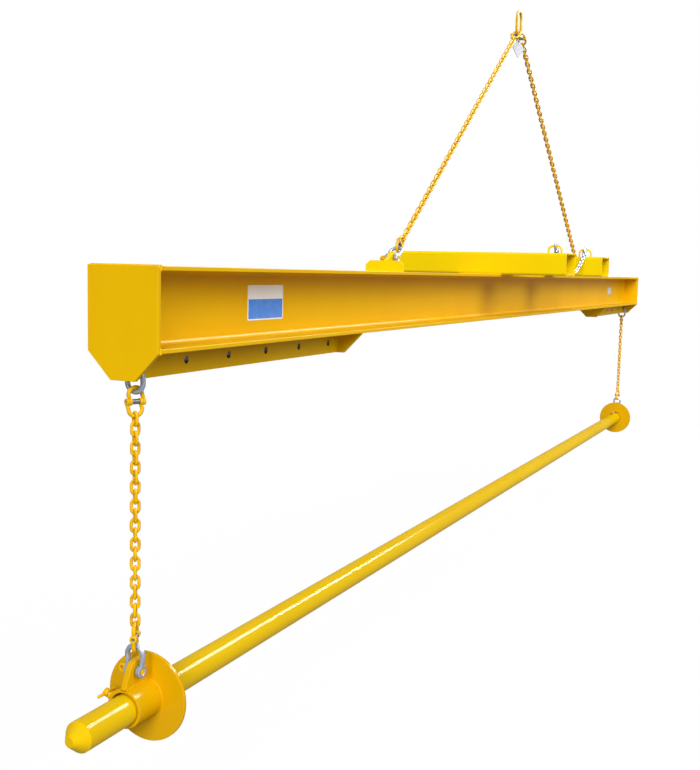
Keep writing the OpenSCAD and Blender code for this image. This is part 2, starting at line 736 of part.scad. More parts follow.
// Lug on the sleeve: round over its hole, against the disc on its inner side
module collar_lug() {
    half = collar_l / 2;
    head = [0, collar_hole_h];
    difference() {
        at_collar() stand_xz() linear_extrude(height = collar_lug_t, center = true) difference() {
            union() {
                translate(head) circle(collar_lug_r);
                polygon([
                    [-half, 0],
                    [half, 0],
                    [half, collar_od / 2 + collar_lug_foot],
                    head + collar_lug_r * [cos(LUG_OUTER_TOUCH), sin(LUG_OUTER_TOUCH)],
                    head,
                    head + [0, collar_lug_r],
                    head + [-half, collar_lug_r]
                ]);
            }
            translate(head) circle(d = lug_hole_d);
        }
        at_collar() rotate([0, 90, 0]) cylinder(d = collar_od, h = collar_l + OVER, center = true);
    }
}
module clamp_nut() {
    difference() {
        at_clamp() translate([0, 0, collar_od / 2 - NUT_ROOT]) difference() {
            cylinder(d = clamp_nut_w, h = clamp_nut_h + NUT_ROOT, $fn = 6);
            translate([0, 0, -OVER / 2])
                cylinder(d = clamp_d + 2 * screw_fit, h = clamp_nut_h + NUT_ROOT + OVER);
        }
        at_collar() rotate([0, 90, 0]) cylinder(d = collar_od, h = collar_l + OVER, center = true);
    }
}
module clamp_screw() {
    shank = clamp_hub - clamp_tip - clamp_chamfer;
    at_clamp() translate([0, 0, clamp_tip]) {
        cylinder(d1 = clamp_d - 2 * clamp_chamfer, d2 = clamp_d, h = clamp_chamfer);
        translate([0, 0, clamp_chamfer]) cylinder(d = clamp_d, h = shank);
    }
}
module clamp_handle() {
    at_clamp() translate([0, 0, clamp_hub]) {
        cylinder(d = hub_d, h = hub_h);
        translate([0, 0, hub_h / 2]) rotate([0, 90, 0]) cylinder(d = tommy_d, h = tommy_l, center = true);
        for (side = [1, -1])
            translate([side * tommy_l / 2, 0, hub_h / 2]) sphere(d = tommy_d);
    }
}
module left_collar_sleeve() { color(YELLOW) on_left() collar_sleeve(); }
module left_collar_disc() { color(YELLOW) on_left() collar_disc(); }
module left_collar_lug() { color(YELLOW) on_left() collar_lug(); }
module left_clamp_nut() { color(YELLOW) on_left() clamp_nut(); }
module left_clamp_screw() { color(ZINC) on_left() clamp_screw(); }
module left_clamp_handle() { color(YELLOW) on_left() clamp_handle(); }
module right_collar_sleeve() { color(YELLOW) collar_sleeve(); }
module right_collar_disc() { color(YELLOW) collar_disc(); }
module right_collar_lug() { color(YELLOW) collar_lug(); }
module right_clamp_nut() { color(YELLOW) clamp_nut(); }
module right_clamp_screw() { color(ZINC) clamp_screw(); }
module right_clamp_handle() { color(YELLOW) clamp_handle(); }

module reel_bar() {
    color(YELLOW) translate([0, 0, bar_z]) rotate([0, 90, 0]) difference() {
        cylinder(d = bar_d, h = 2 * bar_half, center = true);
        cylinder(d = bar_d - 2 * bar_wall, h = 2 * bar_half + OVER, center = true);
    }
}

// Tapered ends with plugs that fit in the bar
module bar_noses() {
    color(YELLOW) on_both() translate([bar_half, 0, bar_z]) rotate([0, 90, 0]) {
        cylinder(d1 = bar_d, d2 = nose_tip_d, h = nose_l);
        translate([0, 0, -nose_plug_l]) cylinder(d = bar_d - 2 * bar_wall - 2 * pin_fit, h = nose_plug_l);
    }
}

master_link();
tag_ring();
sling_tag();
left_leg_chain();
right_leg_chain();
sling_coupler_halves();
sling_coupler_pins();
sling_coupler_sleeves();
main_beam();
left_end_plate();
right_end_plate();
left_lug_plate();
right_lug_plate();
lug_gussets();
left_fork_pocket();
right_fork_pocket();
left_top_lug();
right_top_lug();
lug_stop_plates();
top_shackle_bows();
top_shackle_pins();
safety_eyes();
rating_plate();
data_plate();
left_safety_chain();
right_safety_chain();
safety_shackle_bows();
safety_shackle_pins();
left_upper_shackle_bow();
left_upper_shackle_pin();
right_upper_shackle_bow();
right_upper_shackle_pin();
left_drop_chain();
left_coupler_halves();
left_coupler_pins();
left_coupler_sleeves();
right_drop_chain();
right_coupler_halves();
right_coupler_pins();
right_coupler_sleeves();
left_lower_shackle_bow();
left_lower_shackle_pin();
right_lower_shackle_bow();
right_lower_shackle_pin();
left_collar_sleeve();
left_collar_disc();
left_collar_lug();
left_clamp_nut();
left_clamp_screw();
left_clamp_handle();
right_collar_sleeve();
right_collar_disc();
right_collar_lug();
right_clamp_nut();
right_clamp_screw();
right_clamp_handle();
reel_bar();
bar_noses();
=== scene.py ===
"""Looks of a spreader beam: a chain sling carries it, and a reel bar hangs in collars below it.

Sizes are millimetres in the part's frame, with +X along the beam, +Z up and the origin at the hook's seat.
Each mesh is scaled to metres when it becomes a piece. The right side is drawn, and the left is its mirror
image.
"""

import logging
import math
from dataclasses import dataclass
from enum import Enum
from typing import Callable, Iterable, Sequence

import bmesh
import bpy
from mathutils import Matrix, Vector


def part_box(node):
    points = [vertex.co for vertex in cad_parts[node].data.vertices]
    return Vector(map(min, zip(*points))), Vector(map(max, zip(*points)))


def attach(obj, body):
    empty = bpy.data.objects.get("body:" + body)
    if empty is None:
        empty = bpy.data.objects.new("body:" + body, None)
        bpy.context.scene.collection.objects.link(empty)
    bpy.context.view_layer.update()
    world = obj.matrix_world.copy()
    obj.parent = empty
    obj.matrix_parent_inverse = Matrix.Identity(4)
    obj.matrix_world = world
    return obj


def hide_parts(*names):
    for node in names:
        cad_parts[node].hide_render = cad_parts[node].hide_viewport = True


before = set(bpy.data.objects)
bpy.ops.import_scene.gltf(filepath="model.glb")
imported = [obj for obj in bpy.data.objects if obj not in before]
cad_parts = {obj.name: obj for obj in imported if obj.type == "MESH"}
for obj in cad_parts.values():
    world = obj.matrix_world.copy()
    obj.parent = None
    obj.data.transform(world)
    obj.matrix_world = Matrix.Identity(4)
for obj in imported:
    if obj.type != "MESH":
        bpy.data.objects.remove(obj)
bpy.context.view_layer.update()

LOG = logging.getLogger("spreader_beam")
MM = 0.001
SMOOTH_ANGLE = math.radians(38)
MERGE_GAP = 0.001
EDGE_STEPS = 3
# Least cosine that a mitre divides by, so that a sharp corner isn't moved far
MITRE_FLOOR = 0.3
# Spacing and low radius of a weld's ripples, as shares of the bead's radius
RIPPLE_STEP = 0.9
RIPPLE_LOW = 0.84
BEAD_SIDES = 8

Triple = tuple[float, float, float]
Colour = Triple
Point = tuple[float, float]
Loop = list[Point]


class Side(Enum):
    """End of the beam, with the sign of its X."""

    LEFT = -1
    RIGHT = 1

    @property
    def label(self) -> str:
        """Name that starts the side's nodes and bodies."""
        return self.name.lower()

    @property
    def matrix(self) -> Matrix:
        """Mirror that takes the right side to this side."""
        return Matrix.Diagonal((self.value, 1, 1, 1))


BOTH = (Side.RIGHT, Side.LEFT)


class Signal:
    """A value in a shader, whose operators add Math nodes."""

    def __init__(self, tree: "NodeGraph", socket: bpy.types.NodeSocket) -> None:
        """Wraps a node's output socket."""
        self.tree = tree
        self.socket = socket

    def _math(self, operation: str, *operands: "Signal | float") -> "Signal":
        """Result of a Math node on signals or numbers, by Blender's name of the operation."""
        node = self.tree.add("ShaderNodeMath", {"operation": operation}, dict(enumerate(operands)))
        return self.tree.out(node)

    def __add__(self, other: "Signal | float") -> "Signal":
        """Sum."""
        return self._math("ADD", self, other)

    def __radd__(self, other: float) -> "Signal":
        """Sum with a number on the left."""
        return self._math("ADD", other, self)

    def __sub__(self, other: "Signal | float") -> "Signal":
        """Difference."""
        return self._math("SUBTRACT", self, other)

    def __rsub__(self, other: float) -> "Signal":
        """Difference from a number on the left."""
        return self._math("SUBTRACT", other, self)

    def __mul__(self, other: "Signal | float") -> "Signal":
        """Product."""
        return self._math("MULTIPLY", self, other)

    def __rmul__(self, other: float) -> "Signal":
        """Product with a number on the left."""
        return self._math("MULTIPLY", other, self)

    def __abs__(self) -> "Signal":
        """Size without its sign."""
        return self._math("ABSOLUTE", self)

    def __or__(self, other: "Signal") -> "Signal":
        """The larger of two masks."""
        return self._math("MAXIMUM", self, other)

    def over(self, level: float) -> "Signal":
        """Mask of one where the value is over a level, and else zero."""
        return self._math("GREATER_THAN", self, level)

    def ramp(self, low: float, high: float) -> "Signal":
        """Smooth mask between two levels.

        Args:
            low: Level where the mask is zero.
            high: Level where the mask is one.

        Returns:
            The mask.
        """
        settings = {"interpolation_type": "SMOOTHSTEP"}
        values = {"Value": self, "From Min": low, "From Max": high}
        return self.tree.out(self.tree.add("ShaderNodeMapRange", settings, values))


class NodeGraph:
    """The node tree of a material or of the world."""

    def __init__(self, owner: bpy.types.Material | bpy.types.World) -> None:
        """Empties the owner's node tree.

        Args:
            owner: The material or the world.
        """
        owner.use_nodes = True
        self.nodes = owner.node_tree.nodes
        self.links = owner.node_tree.links
        self.nodes.clear()

    def add(self, kind: str, settings: dict | None = None, values: dict | None = None) -> bpy.types.Node:
        """Adds a node.

        Args:
            kind: Blender's type name of the node.
            settings: The node's own settings, set first.
            values: Numbers, colours or signals for its sockets, by name or place.

        Returns:
            The node.
        """
        node = self.nodes.new(kind)
        for key, value in (settings or {}).items():
            setattr(node, key, value)
        for key, value in (values or {}).items():
            self.feed(node.inputs[key], value)
        return node

    def feed(self, socket: bpy.types.NodeSocket, value: "Signal | Colour | float") -> None:
        """Links a signal to a socket, or sets the socket to a number or a colour.

        Args:
            socket: The socket.
            value: Signal to link, or number or colour to set.
        """
        if isinstance(value, Signal):
            self.links.new(value.socket, socket)
        elif socket.type == "RGBA":
            socket.default_value = (*value, 1.0)
        else:
            socket.default_value = value

    def out(self, node: bpy.types.Node, name: str | int = 0) -> Signal:
        """Output of a node as a signal."""
        return Signal(self, node.outputs[name])


@dataclass(frozen=True)
class Mottle:
    """Cloudy noise, with so many lumps in a metre, and the two levels that its mask runs between."""

    scale: float
    detail: float
    low: float = 0.0
    high: float = 1.0
    stretch: Triple = (1.0, 1.0, 1.0)


class ShaderTree(NodeGraph):
    """The node tree of one material, ending in a Principled shader."""

    def __init__(self, name: str) -> None:
        """Makes the material with its shader and output.

        Args:
            name: Name of the material.
        """
        self.material = bpy.data.materials.new(name)
        super().__init__(self.material)
        self.shader = self.add("ShaderNodeBsdfPrincipled")
        self.output = self.add("ShaderNodeOutputMaterial", None, {"Surface": self.out(self.shader)})
        self.place = self.out(self.add("ShaderNodeTexCoord"), "Object")

    def noise(self, mottle: Mottle) -> Signal:
        """Cloudy noise.

        Args:
            mottle: Scale, detail and stretch of the noise.

        Returns:
            Values about 0.5.
        """
        node = self.add("ShaderNodeMapping", None, {"Vector": self.place, "Scale": mottle.stretch})
        values = {"Vector": self.out(node), "Scale": mottle.scale, "Detail": mottle.detail}
        return self.out(self.add("ShaderNodeTexNoise", None, values), "Fac")

    def mask(self, mottle: Mottle) -> Signal:
        """Smooth mask of a mottle, zero up to its low level and one from its high level."""
        return self.noise(mottle).ramp(mottle.low, mottle.high)

    def cells(self, scale: float) -> Signal:
        """Even grey of random cells, with so many cells in a metre."""
        node = self.add("ShaderNodeTexVoronoi", None, {"Vector": self.place, "Scale": scale})
        return self.out(self.add("ShaderNodeSeparateColor", None, {"Color": self.out(node, "Color")}))

    def axis(self, index: int) -> Signal:
        """Place along X, Y or Z in metres."""
        return self.out(self.add("ShaderNodeSeparateXYZ", None, {"Vector": self.place}), index)

    def facing_up(self) -> Signal:
        """Upward part of the surface's direction, from minus one to one."""
        normal = self.out(self.add("ShaderNodeNewGeometry"), "Normal")
        return self.out(self.add("ShaderNodeSeparateXYZ", None, {"Vector": normal}), 2)

    def mix(self, factor: "Signal | float", low: "Signal | Colour", high: "Signal | Colour") -> Signal:
        """Colour between two colours, by the share of the second."""
        settings = {"data_type": "RGBA", "clamp_factor": True}
        return self.out(self.add("ShaderNodeMix", settings, {0: factor, 6: low, 7: high}), 2)

    def bump(self, height: Signal, depth: float) -> Signal:
        """Surface direction from a height, where a height of one is so many metres deep."""
        return self.out(self.add("ShaderNodeBump", None, {"Height": height, "Distance": depth}))

    def dress(self, **values: "Signal | Colour | float") -> None:
        """Feeds the shader's sockets, named with underscores for spaces."""
        for key, value in values.items():
            self.feed(self.shader.inputs[key.replace("_", " ")], value)


@dataclass(frozen=True)
class Finish:
    """A surface, named for the record's slot that it dresses."""

    slot: str

    @property
    def name(self) -> str:
        """Name of the finish's material."""
        return f"{self.slot}_finish"

    def material(self) -> bpy.types.Material:
        """Finds the finish's material, or makes it at its first use.

        Returns:
            The material.
        """
        found = bpy.data.materials.get(self.name)
        if found:
            return found
        tree = ShaderTree(self.name)
        self.paint(tree)
        return tree.material

    def paint(self, tree: ShaderTree) -> None:
        """Builds the finish's nodes; each kind of finish has its own."""
        raise NotImplementedError


@dataclass(frozen=True)
class Enamel(Finish):
    """Sprayed gloss enamel over steel, with cloudy coats, dust on top and a few chips."""

    colour: Colour
    thin: Colour
    dust: Colour
    chip: Colour
    grade: str
    rough: float
    clouds: Mottle = Mottle(2.3, 4.0, 0.35, 0.75)
    streaks: Mottle = Mottle(9.0, 3.0, 0.5, 0.8, (1.0, 1.0, 0.15))
    settling: Mottle = Mottle(14.0, 5.0, 0.35, 0.75)
    chipping: Mottle = Mottle(38.0, 5.0, 0.78, 0.8)
    fine_peel: Mottle = Mottle(420.0, 1.0)
    broad_peel: Mottle = Mottle(90.0, 2.0)
    cloud_share: float = 0.45
    streak_share: float = 0.2
    dust_slope: float = 0.5
    dust_share: float = 0.15
    chip_share: float = 0.75
    chip_depth: float = 0.6
    cloud_rough: float = 0.1
    dust_rough: float = 0.06
    chip_rough: float = 0.25
    clear_coat: float = 0.14
    dulling: float = 0.04
    peel_depth: float = 0.00003

    @property
    def name(self) -> str:
        """Name of the material, with its grade, which names its gloss and any painted light or shade in
        its colour.
        """
        return f"{self.slot}_{self.grade}"

    def paint(self, tree: ShaderTree) -> None:
        """Builds the coats, dust, chips and the orange peel.

        Args:
            tree: Node tree that the finish is built in.
        """
        clouds = tree.noise(self.clouds)
        cloudy = clouds.ramp(self.clouds.low, self.clouds.high)
        thinned = cloudy * self.cloud_share + tree.mask(self.streaks) * self.streak_share
        coat = tree.mix(thinned, self.colour, self.thin)
        settled = tree.facing_up().ramp(self.dust_slope, 1.0) * tree.mask(self.settling)
        dusty = tree.mix(settled * self.dust_share, coat, self.dust)
        chips = tree.mask(self.chipping)
        peel = tree.noise(self.fine_peel) * 0.5 + tree.noise(self.broad_peel) * 0.5
        rough = self.rough + clouds * self.cloud_rough + settled * self.dust_rough
        tree.dress(
            Base_Color=tree.mix(chips * self.chip_share, dusty, self.chip),
            Roughness=rough + chips * self.chip_rough,
            Specular_IOR_Level=0.0,
            Coat_Weight=self.clear_coat - settled * self.dulling,
            Coat_Roughness=self.rough,
            Normal=tree.bump(peel - chips * self.chip_depth, self.peel_depth),
        )


@dataclass(frozen=True)
class ChainCoat(Finish):
    """Baked coat on forged chain, rubbed to the steel in spots."""

    colour: Colour
    shade: Colour
    steel: Colour
    clouds: Mottle = Mottle(40.0, 4.0, 0.4, 0.7)
    rubbing: Mottle = Mottle(160.0, 5.0, 0.64, 0.72)
    grain: Mottle = Mottle(500.0, 3.0)
    shade_share: float = 0.6
    rubbed_share: float = 0.8
    rubbed_metal: float = 0.5
    rubbed_depth: float = 0.5
    rough: float = 0.38
    cloud_rough: float = 0.2
    specular: float = 0.1
    grain_depth: float = 0.0003

    def paint(self, tree: ShaderTree) -> None:
        """Builds the coat, darker in cloudy patches, and the rubbed steel.

        Args:
            tree: Node tree that the finish is built in.
        """
        clouds = tree.noise(self.clouds)
        rubbed = tree.mask(self.rubbing)
        shaded = clouds.ramp(self.clouds.low, self.clouds.high) * self.shade_share
        coat = tree.mix(shaded, self.colour, self.shade)
        tree.dress(
            Base_Color=tree.mix(rubbed * self.rubbed_share, coat, self.steel),
            Metallic=rubbed * self.rubbed_metal,
            Roughness=self.rough + clouds * self.cloud_rough,
            Specular_IOR_Level=self.specular,
            Normal=tree.bump(tree.noise(self.grain) - rubbed * self.rubbed_depth, self.grain_depth),
        )


@dataclass(frozen=True)
class Galvanised(Finish):
    """Zinc with spangle and dull patches."""

    colour: Colour
    dull: Colour
    spangle: float
    rough: float
    patches: Mottle = Mottle(70.0, 4.0, 0.45, 0.7)
    grain: Mottle = Mottle(600.0, 3.0)
    flake_share: float = 0.45
    patch_share: float = 0.4
    flake_rough: float = 0.14
    patch_rough: float = 0.12
    flake_depth: float = 0.4
    metal: float = 0.4
    patch_metal: float = 0.2
    specular: float = 0.2
    grain_depth: float = 0.00025

    def paint(self, tree: ShaderTree) -> None:
        """Builds the spangle, the dull patches and a grainy skin.

        Args:
            tree: Node tree that the finish is built in.
        """
        flakes = tree.cells(self.spangle)
        patches = tree.mask(self.patches)
        dulled = flakes * self.flake_share + patches * self.patch_share
        tree.dress(
            Base_Color=tree.mix(dulled, self.colour, self.dull),
            Metallic=self.metal - patches * self.patch_metal,
            Roughness=self.rough + flakes * self.flake_rough + patches * self.patch_rough,
            Specular_IOR_Level=self.specular,
            Normal=tree.bump(tree.noise(self.grain) + flakes * self.flake_depth, self.grain_depth),
        )


@dataclass(frozen=True)
class TurnedSteel(Finish):
    """Machined steel with fine tool marks and a little oil."""

    colour: Colour
    stain: Colour
    marks: Mottle = Mottle(900.0, 2.0, stretch=(1.0, 0.2, 0.2))
    staining: Mottle = Mottle(60.0, 4.0, 0.5, 0.75)
    stain_share: float = 0.7
    metal: float = 0.7
    rough: float = 0.24
    mark_rough: float = 0.16
    stain_rough: float = 0.15
    specular: float = 0.2
    mark_depth: float = 0.0001

    def paint(self, tree: ShaderTree) -> None:
        """Builds the tool marks and stains.

        Args:
            tree: Node tree that the finish is built in.
        """
        marks = tree.noise(self.marks)
        stains = tree.mask(self.staining)
        tree.dress(
            Base_Color=tree.mix(stains * self.stain_share, self.colour, self.stain),
            Metallic=self.metal,
            Roughness=self.rough + marks * self.mark_rough + stains * self.stain_rough,
            Specular_IOR_Level=self.specular,
            Normal=tree.bump(marks, self.mark_depth),
        )


@dataclass(frozen=True)
class Enamelled(Finish):
    """Plain white enamel plate with handling marks."""

    colour: Colour
    soil: Colour
    soiling: Mottle = Mottle(45.0, 5.0, 0.5, 0.8)
    skin: Mottle = Mottle(350.0, 2.0)
    soil_share: float = 0.5
    rough: float = 0.3
    soil_rough: float = 0.25
    specular: float = 0.1
    skin_depth: float = 0.0002

    def paint(self, tree: ShaderTree) -> None:
        """Builds the enamel and its soiled patches.

        Args:
            tree: Node tree that the finish is built in.
        """
        soiled = tree.mask(self.soiling)
        tree.dress(
            Base_Color=tree.mix(soiled * self.soil_share, self.colour, self.soil),
            Roughness=self.rough + soiled * self.soil_rough,
            Specular_IOR_Level=self.specular,
            Normal=tree.bump(tree.noise(self.skin), self.skin_depth),
        )


@dataclass(frozen=True)
class TwoTonePrint(Finish):
    """Blank printed plate: a pale field over a coloured one, inside a pale border."""

    pale: Colour
    field: Colour
    left: float
    right: float
    low: float
    high: float
    split: float
    border: float
    fading: Mottle = Mottle(30.0, 4.0, 0.4, 0.8)
    skin: Mottle = Mottle(260.0, 2.0)
    fade_share: float = 0.1
    rough: float = 0.32
    fade_rough: float = 0.2
    skin_depth: float = 0.0002

    def paint(self, tree: ShaderTree) -> None:
        """Builds the two fields and the border from the plate's place.

        Args:
            tree: Node tree that the finish is built in.
        """
        middle_x, middle_z = (self.left + self.right) / 2, (self.low + self.high) / 2
        half_x, half_z = (self.right - self.left) / 2, (self.high - self.low) / 2
        off_x, off_z = abs(tree.axis(0) - middle_x), abs(tree.axis(2) - middle_z)
        rim = off_x.over(half_x - self.border) | off_z.over(half_z - self.border)
        pale = rim | tree.axis(2).over(self.low + self.split * (self.high - self.low))
        fade = tree.noise(self.fading)
        faded = fade.ramp(self.fading.low, self.fading.high) * self.fade_share
        tree.dress(
            Base_Color=tree.mix(pale, tree.mix(faded, self.field, self.pale), self.pale),
            Roughness=self.rough + fade * self.fade_rough,
            Normal=tree.bump(tree.noise(self.skin), self.skin_depth),
        )


WEAR = (0.8, 0.56, 0.04), (0.3, 0.15, 0.02)
YELLOW = Enamel("yellow_paint", (0.82, 0.48, 0.001), (0.76, 0.41, 0.001), *WEAR, "satin", 0.3)
# The same yellow paint, made paler and more lemon for the pockets, their eyes, the top lugs and their
# stops and welds: painted light.
PAINTED_LIGHT_YELLOW = Enamel("yellow_paint", (0.89, 0.65, 0.001), (0.85, 0.57, 0.001), *WEAR, "painted_light", 0.3)
# The same yellow paint, glossier and made darker and more orange for the collars' sleeves, discs, lugs and
# welds: painted shade.
PAINTED_SHADE_YELLOW = Enamel("yellow_paint", (0.71, 0.385, 0.001), (0.66, 0.34, 0.001), *WEAR, "deep", 0.16)
GLOSS = Enamel("yellow_paint", (0.76, 0.49, 0.001), (0.7, 0.43, 0.001), *WEAR, "gloss", 0.13)
CHAIN = ChainCoat("yellow_chain", (0.82, 0.47, 0.002), (0.58, 0.28, 0.002), (0.42, 0.33, 0.2))
FORGING = Galvanised("galvanised_forging", (0.36, 0.4, 0.47), (0.17, 0.19, 0.24), 260.0, 0.3)
ZINC = Galvanised("zinc_plate", (0.35, 0.37, 0.41), (0.16, 0.17, 0.2), 500.0, 0.26)
STEEL = TurnedSteel("steel_pin", (0.2, 0.19, 0.18), (0.1, 0.08, 0.07))
BLACK = TurnedSteel("dark_steel", (0.12, 0.12, 0.13), (0.06, 0.05, 0.05))
WHITE = Enamelled("white_enamel", (0.6, 0.63, 0.7), (0.44, 0.44, 0.45))


def at(x: float, y: float, z: float) -> Matrix:
    """Move by a distance."""
    return Matrix.Translation((x, y, z))


def turn(axis: str, degrees: float) -> Matrix:
    """Turn about an axis through the origin."""
    return Matrix.Rotation(math.radians(degrees), 4, axis)


# An outline drawn in XY stands up in XZ or in YZ, and an axis along Z lies along X
STAND_XZ = turn("X", 90)
STAND_YZ = turn("Z", 90) @ turn("X", 90)
ALONG_X = turn("Y", 90)


def arc(middle: Point, radius: float, start: float, end: float, steps: int) -> Loop:
    """Points of an arc.

    Args:
        middle: Middle of the arc.
        radius: Radius of the arc.
        start: First angle in degrees.
        end: Last angle in degrees.
        steps: Number of steps between the two.

    Returns:
        The points from the first angle to the last.
    """
    angles = [math.radians(start + (end - start) * k / steps) for k in range(steps + 1)]
    return [(middle[0] + radius * math.cos(a), middle[1] + radius * math.sin(a)) for a in angles]


def circle(middle: Point, radius: float, steps: int = 48) -> Loop:
    """Points of a whole circle."""
    return arc(middle, radius, 0, 360, steps)[:-1]


def soft_corners(corners: Sequence[Triple], steps: int = 6) -> Loop:
    """Outline with each corner rounded.

    Args:
        corners: X, Y and the radius of each corner, in order.
        steps: Steps in each round.

    Returns:
        The outline's points.
    """
    outline: Loop = []
    count = len(corners)
    for k, (x, y, radius) in enumerate(corners):
        here = Vector((x, y))
        back = (Vector(corners[k - 1][:2]) - here).normalized()
        ahead = (Vector(corners[(k + 1) % count][:2]) - here).normalized()
        half = back.angle(ahead) / 2
        reach = radius / math.tan(half)
        middle = here + (back + ahead).normalized() * (radius / math.sin(half))
        first, last = here + back * reach - middle, here + ahead * reach - middle
        for step in range(steps + 1):
            spoke = first.slerp(last, step / steps)
            outline.append(tuple(middle + spoke * radius))
    return outline


def oblong(width: float, height: float, corner: float, steps: int = 6) -> Loop:
    """Outline of an upright oblong about the origin, with its corners rounded.

    Args:
        width: Size along X.
        height: Size along Y.
        corner: Radius of the corners.
        steps: Steps in each round.

    Returns:
        The outline's points.
    """
    w, h = width / 2, height / 2
    return soft_corners([(x, y, corner) for x, y in ((-w, -h), (w, -h), (w, h), (-w, h))], steps)


def rod_profile(radius: float, start: float, end: float, edge: float) -> Loop:
    """Half outline of a round rod with rounded ends.

    Args:
        radius: Radius of the rod.
        start: Height of its first end.
        end: Height of its last end.
        edge: Radius of its rounded ends.

    Returns:
        A line from the axis to the axis, as radius and height.
    """
    first = [(radius - edge + y, start + edge - x) for x, y in arc((0, 0), edge, 0, 90, steps=4)]
    last = [(radius - edge + x, end - edge + y) for x, y in arc((0, 0), edge, 0, 90, steps=4)]
    return [(0.0, start), *first, *last, (0.0, end)]


def ring_profile(inner: float, outer: float, start: float, end: float, edge: float) -> Loop:
    """Section of a ring with rounded edges, as radius and height."""
    corners = [(inner, start, edge), (outer, start, edge), (outer, end, edge), (inner, end, edge)]
    return soft_corners(corners, steps=4)


def inset(loop: Loop, distance: float) -> Loop:
    """Outline moved inwards where it runs anticlockwise, or outwards where it runs clockwise.

    Args:
        loop: The outline.
        distance: How far it is moved.

    Returns:
        The moved outline, with as many points.
    """
    moved: Loop = []
    count = len(loop)
    for k, point in enumerate(loop):
        here = Vector(point)
        back = (here - Vector(loop[k - 1])).normalized()
        ahead = (Vector(loop[(k + 1) % count]) - here).normalized()
        normals = Vector((-back.y, back.x)), Vector((-ahead.y, ahead.x))
        middle = (normals[0] + normals[1]).normalized()
        moved.append(tuple(here + middle * (distance / max(middle.dot(normals[0]), MITRE_FLOOR))))
    return moved


def area(loop: Loop) -> float:
    """Signed area of an outline, positive where it runs anticlockwise."""
    pairs = zip(loop, [*loop[1:], loop[0]])
    return sum(a[0] * b[1] - b[0] * a[1] for a, b in pairs) / 2


